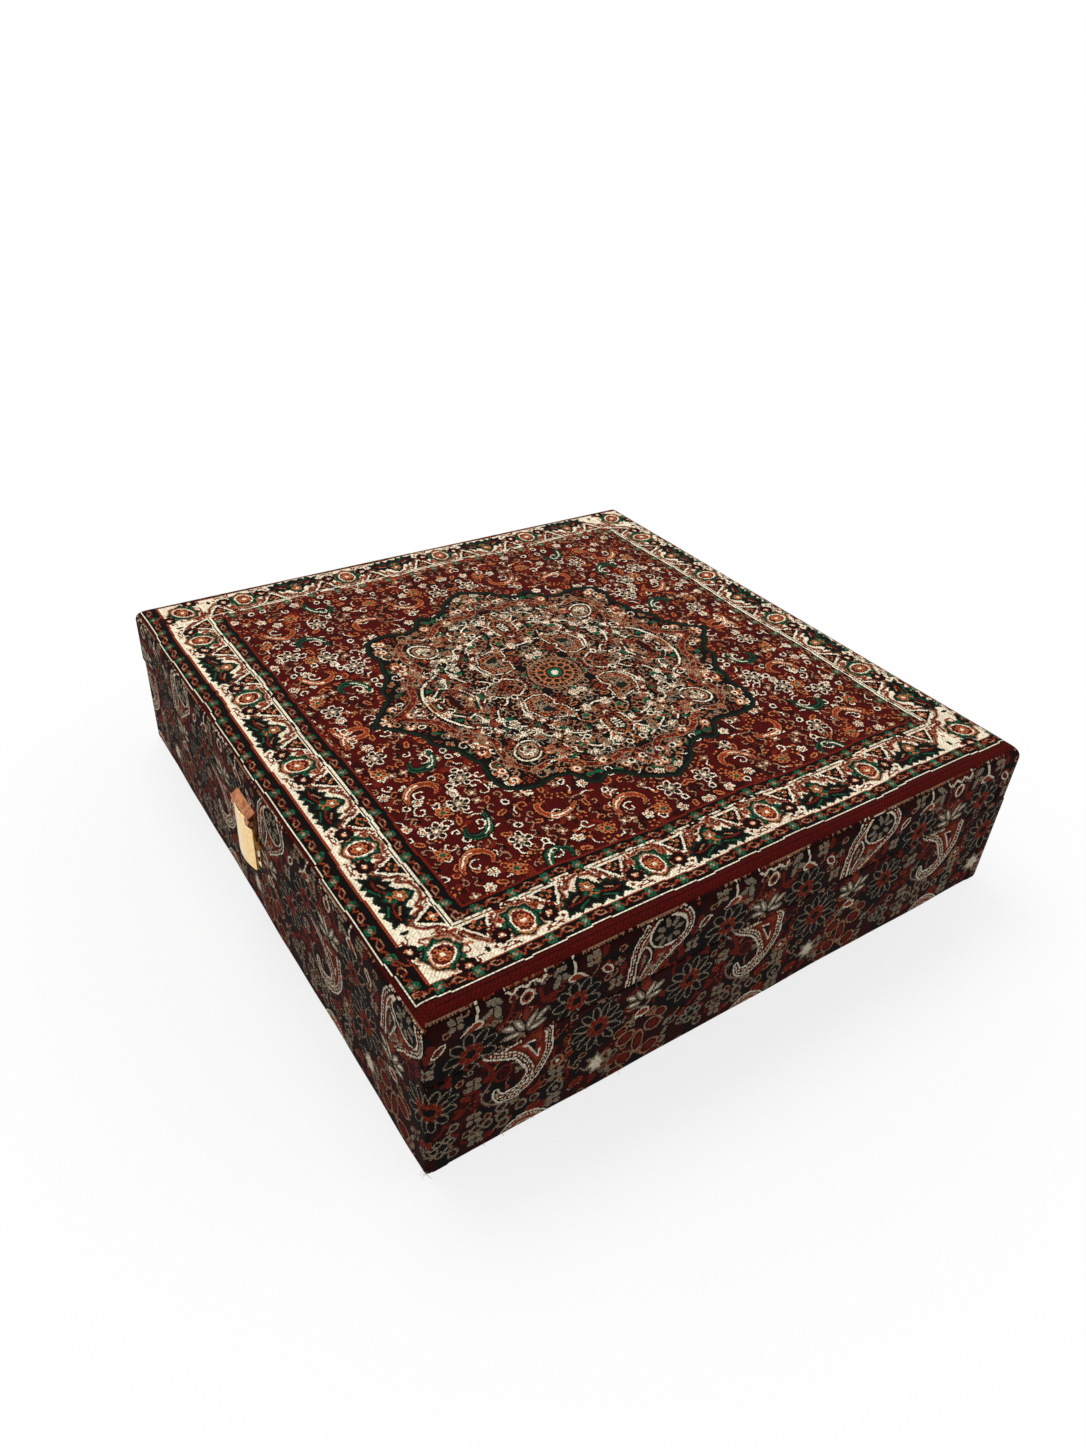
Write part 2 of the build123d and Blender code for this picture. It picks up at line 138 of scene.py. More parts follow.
class Loom:
    """A sheet of coloured threads. x runs right and y up, in millimetres."""

    def __init__(self, x0, x1, y0, y1, ground):
        self.x0, self.y0 = x0, y0
        self.nx, self.ny = int(round((x1 - x0) / THREAD)), int(round((y1 - y0) / THREAD))
        self.yarn = np.full((self.ny, self.nx), CODE[ground], np.uint8)
        self.frames = [(0, 0, 1, 0, 0, 1)]  # each drawing is repeated in all of these

    def at(self, x, y):
        """Yarn of the thread at each place."""
        i = np.clip(((x - self.x0) / THREAD).astype(int), 0, self.nx - 1)
        j = np.clip(((y - self.y0) / THREAD).astype(int), 0, self.ny - 1)
        return self.yarn[j, i]

    def paint(self, x, y, reach, shape, turn=0.0):
        """Set threads near a point to shape(px, py), where that isn't negative."""
        c, s = math.cos(turn), math.sin(turn)
        for ox, oy, ax, ay, bx, by in self.frames:
            cx, cy = ox + x * ax + y * bx, oy + x * ay + y * by
            i0 = max(int((cx - reach - self.x0) / THREAD), 0)
            i1 = min(int((cx + reach - self.x0) / THREAD) + 2, self.nx)
            j0 = max(int((cy - reach - self.y0) / THREAD), 0)
            j1 = min(int((cy + reach - self.y0) / THREAD) + 2, self.ny)
            if i0 >= i1 or j0 >= j1:
                continue
            px, py = np.meshgrid(self.x0 + (np.arange(i0, i1) + 0.5) * THREAD - cx,
                                 self.y0 + (np.arange(j0, j1) + 0.5) * THREAD - cy)
            pa, pb = px * ax + py * ay, px * bx + py * by
            found = shape(pa * c + pb * s, pb * c - pa * s)
            view = self.yarn[j0:j1, i0:i1]
            view[found >= 0] = found[found >= 0]

    def shadow(self, share, rng):
        """Painted shade: ground threads just right of and below pale ones are set black at random, a
        one-sided dark edge that stands for the shade beside raised pale threads as well as the weave's dark
        outlines.
        """
        pale = np.isin(self.yarn, [CODE[name] for name in ("cream", "tan", "orange", "sage")])
        beside = np.zeros_like(pale)
        beside[:-1, 1:] |= pale[1:, :-1]
        beside[:, 1:] |= pale[:, :-1]
        ground = np.isin(self.yarn, [CODE[name] for name in ("crimson", "maroon", "brick", "pine")])
        self.yarn[beside & ground & (rng.uniform(size=pale.shape) < share)] = CODE["black"]

    def rect(self, x0, x1, y0, y1, yarn):
        i0, i1 = (int(round((v - self.x0) / THREAD)) for v in (x0, x1))
        j0, j1 = (int(round((v - self.y0) / THREAD)) for v in (y0, y1))
        self.yarn[max(j0, 0):max(j1, 0), max(i0, 0):max(i1, 0)] = CODE[yarn]

    def oval(self, x, y, rx, ry, yarn, turn=0.0):
        reach = max(rx, ry)
        self.paint(x, y, reach,
                   lambda p, q: np.where((p / rx) ** 2 + (q / ry) ** 2 < 1, CODE[yarn], -1), turn)

    def rings(self, x, y, rx, ry, nested, turn=0.0):
        """Nested ovals, from the outside in; each band starts at a share of the size."""
        for share, (yarn,) in bands(nested):
            self.oval(x, y, rx * share, ry * share, yarn, turn)

    def dots(self, places, r, yarn):
        for x, y in places:
            self.oval(x, y, r, r, yarn)

    def line(self, points, width, yarn):
        p = np.asarray(points, float)
        mid = (p.min(0) + p.max(0)) / 2
        reach = (p.max(0) - p.min(0)).max() / 2 + width
        half = max(width / 2, THREAD * 0.4)

        def shape(a, b):
            return np.where(segment_distance(a, b, p - mid)[0] < half, CODE[yarn], -1)
        self.paint(*mid, reach, shape)

    def stroke(self, points, width, yarn):
        """Line rounded through points."""
        self.line(smooth(points), width, yarn)

    def fill(self, outline, layers, dash=0.0):
        """Closed shape in bands, each starting at a depth inside its edge. A band of two yarns
        changes between them along the edge, every dash millimetres."""
        p = np.asarray(outline, float)
        mid = (p.min(0) + p.max(0)) / 2
        reach = (p.max(0) - p.min(0)).max() / 2 + 1
        loop = p - mid

        def shape(a, b):
            d, along, _ = segment_distance(a, b, np.vstack((loop, loop[:1])))
            within = inside(a, b, loop)
            found = np.full(a.shape, -1)
            for depth, yarns in bands(layers):
                codes = [CODE[yarn] for yarn in yarns]
                code = np.where(along % (2 * dash) < dash, *codes) if len(codes) == 2 else codes[0]
                found = np.where(within & (d >= depth), code, found)
            return found
        self.paint(*mid, reach, shape)

    def leaf(self, points, layers, dash=0.0):
        """Closed shape rounded through points."""
        self.fill(smooth(points, closed=True), layers, dash)

    def twin(self, points, layers, dash=0.0, at=0.0):
        """Closed shape that mirrors a half outline."""
        self.fill(mirrored(points) + (at, 0), layers, dash)

    def petals(self, x, y, r, count, edge, fill, core, turn=0.0, rim=0.7, wide=1.0, start=0.3):
        """Ring of oval petals, each with an edge, round a heart."""
        long, middle = r * (1 - start) / 2, r * (1 + start) / 2
        half = min(middle * math.sin(math.pi / count) * 1.02 * wide, long)
        for n in range(count):
            angle = turn + 2 * math.pi * n / count
            px, py = x + middle * math.cos(angle), y + middle * math.sin(angle)
            self.oval(px, py, long, half, edge, angle)
            if long > rim and half > rim:
                self.oval(px, py, long - rim, half - rim, fill, angle)
        if core:
            self.oval(x, y, r * start, r * start, core)

    def curl(self, x, y, r, turns, turn, width, yarn, way=1):
        t = np.linspace(0, 1, int(14 * turns) + 3)
        angle = turn + way * 2 * math.pi * turns * t
        reach = r * (1 - 0.8 * t)
        self.line(np.column_stack((x + reach * np.cos(angle), y + reach * np.sin(angle))), width, yarn)

    def hook(self, x, y, size, turn, body, edge):
        """Curved leaf with a thick belly, a pointed root and a curled tip."""
        c, s = math.cos(turn), math.sin(turn)
        spine = smooth([(0.55, -0.75), (0.1, -0.6), (-0.35, -0.1), (-0.3, 0.5), (0.1, 0.75), (0.45, 0.5)])
        spine = (spine * size) @ np.array(((c, s), (-s, c))) + (x, y)
        mid = (spine.min(0) + spine.max(0)) / 2
        for width, yarn in ((0.50, "black"), (0.34, edge), (0.19, body)):

            def shape(a, b, width=width, yarn=yarn):
                d, along, run = segment_distance(a, b, spine - mid)
                half = size * width / 2 * np.sin(np.pi * np.clip(0.1 + along / run * 0.85, 0, 1)) ** 0.7
                return np.where(d < np.maximum(half, THREAD * 0.45), CODE[yarn], -1)
            self.paint(*mid, size * 1.2, shape)
        self.line(spine[len(spine) // 6: len(spine) // 2], size * 0.07, "cream")


# Pattern of the lid's top

MEDALLION_MIDDLE = (0.0, 1.0)
FIELD = (-125.0, 111.2, -113.9, 119.5)  # left, right, front, back
MAIN = (-126.5, 118.0, -121.7, 125.5)  # inner edges of the cream border
MAIN_OUTER = (-144.7, 136.5, -141.1, 144.5)
GUARD_OUTER = (-150.0, 141.5, -148.3, 146.9)
WHITE_LINE = (-150.7, 142.3, -148.7, 147.6)
UNIT, BORDER_START = 28.7, -4.5  # between the border's triangles, and where one stands
ROSETTE_PITCH = 14.2
DIAGONAL = math.sqrt(0.5)
QUARTERS = [(*MEDALLION_MIDDLE, sx, 0, 0, sy) for sx in (1, -1) for sy in (1, -1)]


def side_frames(lines, pitch, phase_x, phase_y, spans):
    """Places every pitch along four border lines, with y pointing outwards, within the spans."""
    left, right, front, back = lines
    places = []
    for n in range(-13, 14):
        x, y = phase_x + n * pitch, phase_y + n * pitch
        if spans[0] < x < spans[1]:
            places += [(x, front, 1, 0, 0, -1), (x, back, 1, 0, 0, 1)]
        if spans[2] < y < spans[3]:
            places += [(left, y, 0, 1, -1, 0), (right, y, 0, 1, 1, 0)]
    return places


def frame_band(loom, outer, inner, yarn):
    """Rectangular ring between two rectangles (left, right, front, back)."""
    loom.rect(outer[0], outer[1], outer[2], inner[2], yarn)
    loom.rect(outer[0], outer[1], inner[3], outer[3], yarn)
    loom.rect(outer[0], inner[0], outer[2], outer[3], yarn)
    loom.rect(inner[1], outer[1], outer[2], outer[3], yarn)


def grown(box, by):
    """Rectangle moved outwards on all sides."""
    return (box[0] - by, box[1] + by, box[2] - by, box[3] + by)


FIELD_PITCH, MEDALLION_PITCH = 5.3, 4.5  # between the small motifs
# Yarns of the small motifs, from pale to dark
FIELD_YARNS = ("cream", "tan", "orange", "brick", "maroon", "black")
MEDALLION_YARNS = (("cream", "tan", "orange", "pine", "black", "pine"),
                   ("tan", "sage", "rust", "pine", "black", "pine"))
SIDE_YARNS = ("tan", "sage", "rust", "brick", "crimson", "black")


def small_motif(loom, rng, x, y, yarns):
    """One of the fine scrolls, leaves and buds that fill the ground."""
    pale, second, warm, middle, dark, darkest = yarns
    kind, turn, way = rng.integers(0, 10), rng.uniform(0, 6.3), rng.choice((-1, 1))
    c, s = math.cos(turn), math.sin(turn)
    if kind <= 2:
        loom.curl(x, y, rng.uniform(1.8, 3.4), rng.uniform(0.6, 1.1), turn, THREAD * 1.05,
                  (pale, second, warm)[kind], way)
    elif kind == 3:
        angles = [turn + k * 1.257 for k in range(5)]
        loom.dots([(x + 1.7 * math.cos(angle), y + 1.7 * math.sin(angle)) for angle in angles], 0.55, warm)
    elif kind == 4:
        loom.petals(x, y, 2.5, 5, pale, middle, warm, turn, rim=0.55)
    elif kind == 5:
        loom.line([(x - 2 * c, y - 2 * s), (x + way * s, y - way * c), (x + 2.8 * c, y + 2.8 * s)],
                  THREAD * 1.05, pale)
        loom.oval(x + 2.8 * c, y + 2.8 * s, 1.1, 0.7, warm, turn)
    elif kind == 6:
        loom.stroke([(x - 3, y), (x - 1, y + way * 1.5), (x + 1, y - way), (x + 3, y + way)],
                  THREAD * 1.05, second)
        loom.oval(x, y - 1.6, 1.2, 0.8, darkest)
    elif kind == 7:
        loom.petals(x, y, 2.2, 4, second, dark, pale, turn, rim=0.55)
    elif kind == 8:
        loom.oval(x, y, 2.5, 1.25, warm, turn)
        loom.oval(x, y, 1.8, 0.6, middle, turn)
    else:
        loom.rings(x, y, 1.9, 1.6, f"1 {pale}, 0.64 {dark}", turn)


def draw_field(loom, rng):
    """Crimson ground full of fine cream scrolls, small flowers and hooked leaves, mirrored in four."""
    loom.rect(*FIELD, "crimson")
    loom.frames = QUARTERS
    for n in range(230):
        x, y = rng.uniform(0, 128), rng.uniform(0, 120)
        loom.oval(x, y, rng.uniform(1.5, 4.5), rng.uniform(1, 2.5), ("maroon", "brick", "maroon")[n % 3],
                  rng.uniform(0, 3))
    for gx in np.arange(2, 130, FIELD_PITCH):
        for gy in np.arange(2, 122, FIELD_PITCH):
            small_motif(loom, rng, gx + rng.uniform(-1.5, 1.5), gy + rng.uniform(-1.5, 1.5), FIELD_YARNS)
    for x, y, turn in ((93, -29, 0.0), (84, -57, 2.5), (48, -99, 0.0), (93, -99, 0.0), (1, -104, 0.3)):
        loom.oval(x, y, 5.6, 6.2, "crimson")
        loom.hook(x, y, 9.8, turn, "rust", "orange")
        loom.curl(x + 3.2, y - 1.0, 3.4, 0.9, 2.4, THREAD * 1.05, "cream")
    for x, y, turn in ((33, -88, 3.4), (79, -88, 3.4), (108, -72, 0.4)):
        loom.oval(x, y, 5.0, 5.6, "crimson")
        loom.hook(x, y, 8.8, turn, "pine", "green")
        loom.curl(x - 3.0, y + 1.0, 3.4, 0.9, -0.6, THREAD * 1.05, "cream")
    for x, y in ((49, -80), (93, -78), (96, -9), (72, -103), (62, -88), (20, -104)):
        loom.petals(x, y, 5.2, 5, "cream", "maroon", "orange", 0.3, rim=0.55, wide=0.8)
        loom.petals(x, y, 3.0, 5, "sage", "pine", "cream", 0.9, rim=0.55)
    for x, y in ((103, -46), (104, -20), (64, -96), (105, -88), (30, -107), (85, -108)):
        loom.petals(x, y, 3.6, 7, "orange", "brick", "green", 0.0, rim=0.55)


def draw_medallion(loom, rng):
    """Dark lobed medallion with pendants, a tan band ring, palmettes and a round heart."""
    quarter = [(-1, -94), (6, -88), (16, -79), (24, -78), (32, -72), (40, -70.5), (47, -68), (56, -69.5),
               (65, -66), (68, -56), (66, -46), (68, -39), (76, -34), (77, -31), (74, -25), (78, -18),
               (84, -13), (88, -6), (91, 0)]
    q = smooth(quarter)
    outline = np.vstack((q, (q * (1, -1))[::-1], q * (-1, -1), (q * (-1, 1))[::-1]))
    loom.frames = [(*MEDALLION_MIDDLE, 1, 0, 0, 1)]
    loom.fill(outline * 1.012, "0 black")
    loom.fill(outline, "0 pine, 2.0 black")
    for share in np.linspace(0.02, 0.98, 22):
        x, y = outline[int(share * len(outline))] * 0.975
        loom.oval(x, y, 2.2, 1.2, "green", rng.uniform(0, 3))
    loom.frames = QUARTERS
    # dense small work over the dark ground
    core = outline * 0.98
    for gx in np.arange(0, 90, MEDALLION_PITCH):
        for gy in np.arange(0, 94, MEDALLION_PITCH):
            x, y = gx + rng.uniform(-1.2, 1.2), -gy + rng.uniform(-1.2, 1.2)
            if inside(np.array([x]), np.array([y]), core)[0]:
                small_motif(loom, rng, x, y, MEDALLION_YARNS[int(rng.uniform() < 0.6)])
                if rng.uniform() < 0.16:
                    loom.oval(x, y, 2.2, 1.1, "green", rng.uniform(0, 3))
    # tan dotted band that runs round inside the outline
    arc = smooth([(0, -83), (6, -73), (13, -67), (20, -66), (27, -61), (33, -55), (42, -57), (52, -56),
                  (58, -50), (57, -42), (60, -34), (66, -28), (68, -18), (66, -9), (72, -3), (80, 0)])
    loom.line(arc, 4.6, "black")
    loom.line(arc, 3.6, "tan")
    loom.line(arc, 2.5, "brick")
    loom.dots(arc[::4], 0.6, "orange")
    loom.dots(arc[2::4], 0.5, "black")
    # cream network
    for net in (
        [(0, -30), (10, -33), (15, -41), (27, -44), (31, -36), (41, -33), (44, -24), (55, -20), (62, -8)],
        [(30, 0), (31, -10), (27, -16), (29, -24), (38, -27), (46, -17), (47, 0)],
        [(0, -60), (9, -58), (14, -50), (24, -50), (33, -46), (36, -37)],
        [(12, -26), (18, -30), (28, -31), (31, -24)],
        [(46, -4), (54, -8), (60, -16), (58, -26), (49, -30)],
    ):
        loom.line(smooth(net), 2.2, "black")
        loom.line(smooth(net), 0.85, "cream")
        for x, y in smooth(net, steps=2)[1:-1:2]:
            loom.petals(x, y, 2.2, 5, "cream", "brick", "cream", 0.4, rim=0.5)
    # half-round dark bowls with their cream rims, towards the front and back
    bowl = smooth([(0, -66), (10, -64), (19, -59), (24, -51)])
    loom.line(bowl, 3.4, "black")
    loom.line(bowl, 1.2, "cream")
    loom.twin([(0, -62), (8, -60), (14, -54), (10, -46), (0, -43)],
              "0 cream, 0.6 pine, 2.4 brick/tan, 3.2 black, 4.6 orange/black, 5.6 maroon", dash=0.9)
    # round and square palmettes
    loom.rings(46, -46, 8.2, 6.6,
               "1 black, 0.93 cream, 0.82 pine, 0.66 tan, 0.52 brick, 0.36 cream, 0.22 green", -0.78)
    loom.petals(46, -46, 3.6, 6, "cream", "sage", "green", 0.0, rim=0.6)
    loom.fill([(12, -14), (30, -11), (33, -17), (30, -27), (21, -30), (12, -27), (10, -20)],
              "0 black, 0.7 cream, 1.3 pine, 2.1 orange/brick, 3.6 black, 4.3 tan/rust, 5.6 pine", dash=0.8)
    for x in (14, 19, 24, 29):
        loom.line([(x, -15), (x + 1, -26)], 0.6, "maroon")
    loom.fill([(0, -39), (6, -34), (8, -25), (4, -19), (0, -17), (-4, -19), (-8, -25), (-6, -34)],
              "0 cream, 0.6 black, 1.8 orange/maroon, 3.0 pine, 4.0 tan/brick, 5.2 black", dash=0.8)
    loom.fill([(38, 0), (43, -6), (52, -7), (60, 0), (52, 7), (43, 6)],
              "0 cream, 0.6 black, 1.8 orange/brick, 3.2 pine, 4.4 cream/black", dash=0.8)
    for x, y in ((74, -6), (73, -14), (80, -2), (66, -35), (61, -61), (54, -63), (39, -64), (8, -80),
                 (2, -88), (0, -76), (50, -38), (36, -62), (66, -22)):
        loom.rings(x, y, 2.7, 2.7, "1 black, 0.92 orange, 0.6 cream, 0.32 brick")
    # heart
    loom.rings(0, 0, 14, 14, "1 black, 0.95 tan, 0.9 pine, 0.74 orange, 0.69 black, 0.50 tan, 0.45 maroon, "
                             "0.28 green, 0.14 cream")
    loom.petals(0, 0, 12.4, 14, "tan", "maroon", None, 0.13, rim=0.6, start=0.72)
    loom.petals(0, 0, 9.4, 11, "orange", "pine", None, 0.13, rim=0.6, start=0.52)
    # a second layer of fine work ties the large shapes into the ground
    loom.frames = QUARTERS
    for n in range(300):
        x, y = rng.uniform(0, 80), -rng.uniform(0, 86)
        if inside(np.array([x]), np.array([y]), core * 0.94)[0] and math.hypot(x, y) > 12:
            if n % 3 == 0:
                loom.oval(x, y, rng.uniform(1.2, 2.6), rng.uniform(0.8, 1.4), "black", rng.uniform(0, 3))
            small_motif(loom, rng, x, y, MEDALLION_YARNS[int(rng.uniform() < 0.8)])
    loom.frames = [(*MEDALLION_MIDDLE, 1, 0, 0, 1)]
    # the outline again, over the fine work
    closed = np.vstack((outline, outline[:1]))
    loom.line(closed * 0.995, 3.0, "black")
    loom.line(closed, 1.7, "pine")


def draw_guards(loom):
    """Two dark stripes with green rosettes and knots between them, one each side of the cream border."""
    for lines, outwards in ((grown(GUARD_OUTER, -2.3), 0.0), (grown(MAIN, -3.6), 0.18)):
        for shift in (0.0, 0.5, 0.25, -0.25):
            x, y = 7.5 + shift * ROSETTE_PITCH, -11.0 + shift * ROSETTE_PITCH
            loom.frames = side_frames(lines, ROSETTE_PITCH, x, y, grown(lines, 2))
            if shift == 0:
                loom.petals(0, outwards, 2.5, 6, "green", "green", "pine", 0.2, rim=0.4, wide=1.1)
                loom.oval(0, outwards, 0.9, 0.9, "sage")
            elif shift == 0.5:
                loom.rings(0, 0, 2.4, 1.3, "1 tan, 0.62 maroon", 0.35)
            else:
                loom.stroke([(-2.4, -0.9), (-0.6, 0.9), (0.8, -0.6), (2.4, 0.8)], 0.65, "rust")


def draw_triangles(loom):
    """Dark triangles on the border's inner line, under tan and brick arches."""
    loom.frames = side_frames(MAIN, UNIT, BORDER_START, 0.0, grown(MAIN, -3))
    arch = smooth([(-14.3, 1.2), (-10, 2.4), (-7.4, 5.6), (-5.4, 3.6), (-4.0, 8.0), (-1.6, 10.6), (0, 12.6)])
    for way in (1, -1):
        loom.line(arch * (way, 1), 1.7, "tan")
        loom.line(arch * (way, 1), 0.9, "brick")
        loom.line(arch * (way, 1) + (0, -1.8), THREAD, "maroon")
    loom.fill([(-6.6, 0.2), (6.6, 0.2), (3.4, 5.6), (0.6, 10.2), (-0.6, 10.2), (-3.4, 5.6)],
              "0 cream, 0.9 black")
    loom.petals(0, 3.3, 2.5, 4, "orange", "brick", "cream", 0.0, rim=0.6)
    loom.dots([(-7.2, 1.8), (7.2, 1.8), (-9.2, 1.5), (9.2, 1.5)], 0.8, "rust")


def draw_palmettes(loom):
    """Black and green palmettes in the cream border."""
    loom.frames = side_frames(MAIN, UNIT * 2, BORDER_START + 1.5 * UNIT, 1.5 * UNIT, grown(MAIN, -6))
    loom.twin([(0, 2.4), (2.8, 4.6), (4.0, 7.4), (5.8, 8.6), (7.4, 6.6), (9.2, 9.4), (12.6, 8.4),
               (12.0, 11.2), (15.2, 12.2), (12.8, 14.0), (14.4, 17.6), (10.6, 16.6), (8.2, 18.6),
               (6.6, 16.6), (4.4, 18.4), (3.0, 16.4), (0, 18.0)], "0 pine, 1.0 black")
    loom.twin([(0, 3.0), (3.2, 6.4), (2.4, 9.2), (4.6, 11.4), (1.8, 13.4), (0, 15.6)],
              "0 pine, 0.8 green, 1.8 pine")
    for way in (1, -1):
        for points, width, yarn in (([(3, 12), (7, 13.4), (11, 13.0)], 0.8, "brick"),
                                    ([(3, 14), (6, 15.2), (8, 16.4)], 0.7, "green"),
                                    ([(5.4, 10.6), (8.4, 12.2)], 0.7, "tan")):
            loom.stroke(np.array(points) * (way, 1), width, yarn)
    loom.petals(0, 8.0, 2.8, 5, "orange", "brick", "cream", 0.3, rim=0.6)
    loom.line([(-1.6, 12.6), (0, 11.2), (1.6, 12.6)], 0.7, "orange")


def corner_frames():
    """Places in the cream border's corners, turned to point out of each corner."""
    places = []
    for x_edge, y_edge in ((0, 2), (0, 3), (1, 2), (1, 3)):
        ax, ay = (1 if x_edge else -1) * DIAGONAL, (1 if y_edge == 3 else -1) * DIAGONAL
        x = (MAIN[x_edge] + MAIN_OUTER[x_edge]) / 2
        y = (MAIN[y_edge] + MAIN_OUTER[y_edge]) / 2
        places.append((x - 9.6 * ax, y - 9.6 * ay, -ay, ax, ax, ay))
    return places


def draw_rosettes(loom):
    """Orange rosettes in dark shields, with the small flowers and stems beside them."""
    along_sides = side_frames(MAIN, UNIT * 2, BORDER_START + 0.5 * UNIT, 0.5 * UNIT, grown(MAIN, -6))
    loom.frames = along_sides + corner_frames()
    loom.twin([(0, 0.8), (3, 2.6), (6.2, 2.4), (5.8, 5.6), (7.4, 8.6), (6.4, 12), (7.0, 15.4), (3.6, 15.6),
               (0, 17.8)], "0 tan, 0.6 pine, 1.6 green, 2.4 black")
    loom.rings(0, 9.4, 4.4, 5.6, "1 cream, 0.84 brick, 0.64 black")
    loom.petals(0, 9.6, 3.2, 6, "orange", "brick", "cream", 0.5, rim=0.55)
    loom.stroke([(-3.4, 13.4), (0, 15.6), (3.4, 13.4)], 0.8, "orange")
    loom.stroke([(-2.6, 5.2), (0, 3.6), (2.6, 5.2)], 0.8, "tan")
    for way in (1, -1):
        loom.petals(way * 9.8, 11.6, 3.9, 8, "maroon", "black", "orange", 0.2, rim=0.5, wide=1.3)
        loom.dots([(way * 9.8, 11.6)], 0.7, "cream")
        for points, width, yarn in (([(13.2, 5.2), (11.4, 7.4), (13.4, 9.4)], THREAD * 1.1, "brick"),
                                    ([(5.2, 18), (8.4, 15.6), (12.4, 18)], THREAD * 1.1, "maroon"),
                                    ([(5.8, 16.6), (9, 17.4), (12.6, 16.6)], 0.8, "rust"),
                                    ([(6.2, 3.2), (8.2, 5.4), (6.4, 7.2)], 0.8, "rust")):
            loom.stroke(np.array(points) * (way, 1), width, yarn)
        loom.dots([(way * 12.6, 8.2), (way * 13.6, 15.0)], 0.8, "brick")
        loom.oval(way * 13.8, 3.2, 1.6, 0.9, "pine", way * 0.8)
        loom.oval(way * 7.0, 8.6, 1.5, 0.7, "green", way * 1.2)


def weave_top():
    """The whole flat of the lid, out to where the rounded edge ends."""
    rng = np.random.default_rng(11)
    loom = Loom(-162, 162, -162, 162, "wine")
    frame_band(loom, GUARD_OUTER, MAIN_OUTER, "black")
    frame_band(loom, grown(MAIN_OUTER, 0.9), grown(MAIN_OUTER, -0.2), "rust")
    frame_band(loom, MAIN_OUTER, MAIN, "cream")
    loom.rect(*MAIN, "black")
    frame_band(loom, grown(MAIN, 0.5), grown(MAIN, -0.2), "maroon")
    frame_band(loom, grown(MAIN, -0.4), grown(MAIN, -1.2), "cream")
    draw_field(loom, rng)
    draw_medallion(loom, rng)
    # painted shade: a one-sided dark edge beside the pale threads
    loom.shadow(0.75, rng)
    frame_band(loom, grown(MAIN, -1.2), grown(FIELD, 0.4), "black")
    frame_band(loom, grown(FIELD, 0.5), grown(FIELD, -0.4), "brick")
    draw_triangles(loom)
    draw_palmettes(loom)
    draw_rosettes(loom)
    draw_guards(loom)
    frame_band(loom, grown(WHITE_LINE, 1.0), grown(WHITE_LINE, -0.9), "black")
    frame_band(loom, grown(WHITE_LINE, 0.45), grown(WHITE_LINE, -0.45), "cream")
    return loom


# Pattern of the sides

REPEAT = 110.0  # of the side pattern


def repeated(loom, start):
    """Draw from here on in every repeat along the side."""
    loom.frames = [(start + n * REPEAT, 0, 1, 0, 0, 1) for n in range(-3, 4)]


def daisy(loom, x, y, r, count, turn=0.2):
    loom.oval(x, y, r * 1.04, r * 1.04, "black")
    loom.petals(x, y, r, count, "sage", "black", None, turn, rim=0.56, wide=0.94, start=0.30)
    loom.petals(x, y, r * 0.46, 7, "rust", "brick", "black", turn + 0.3, rim=0.5, start=0.36)


def crossflower(loom, x, y, r=3.6):
    loom.petals(x, y, r, 4, "sage", "sage", "black", math.pi / 4, wide=0.86, start=0.2)
    loom.dots([(x, y)], 0.7, "brick")


def w_leaf(loom, x, y, size):
    """Two pairs of pointed grey leaves that spread from a middle point."""
    for way in (1, -1):
        for tip, root, width in (((9.5, 3.6), (1.6, -0.8), 3.4), ((8.8, -2.2), (1.2, -3.0), 3.0),
                                 ((4.6, 5.2), (0.2, -2.4), 3.0)):
            a = np.array(root) * (way, 1) * size + (x, y)
            b = np.array(tip) * (way, 1) * size + (x, y)
            mid, gap = (a + b) / 2, b - a
            length, angle = np.hypot(*gap) / 2, math.atan2(gap[1], gap[0])
            loom.oval(*mid, length * 1.05, width * size / 2 + 0.7, "black", angle)
            loom.oval(*mid, length, width * size / 2, "sage", angle)
            loom.oval(*mid, length * 0.7, width * size * 0.16, "cream", angle)


def draw_ground(loom, rng, z0, z1):
    """Maroon patches and stems behind the side motifs."""
    for n in range(44):
        x, z = rng.uniform(0, REPEAT), rng.uniform(z0, z1)
        loom.oval(x, z, rng.uniform(5, 10), rng.uniform(3, 6), "maroon", rng.uniform(0, 3))
    for n in range(26):
        x, z, turn = rng.uniform(0, REPEAT), rng.uniform(z0, z1), rng.uniform(0, 6.3)
        loom.curl(x, z, rng.uniform(4, 7), 0.6, turn, 1.1, ("crimson", "brick")[n % 2])
        loom.oval(x + 3, z + 2, 2.6, 1.5, "brick", turn)
    for n in range(110):
        small_motif(loom, rng, rng.uniform(0, REPEAT), rng.uniform(z0, z1), SIDE_YARNS)


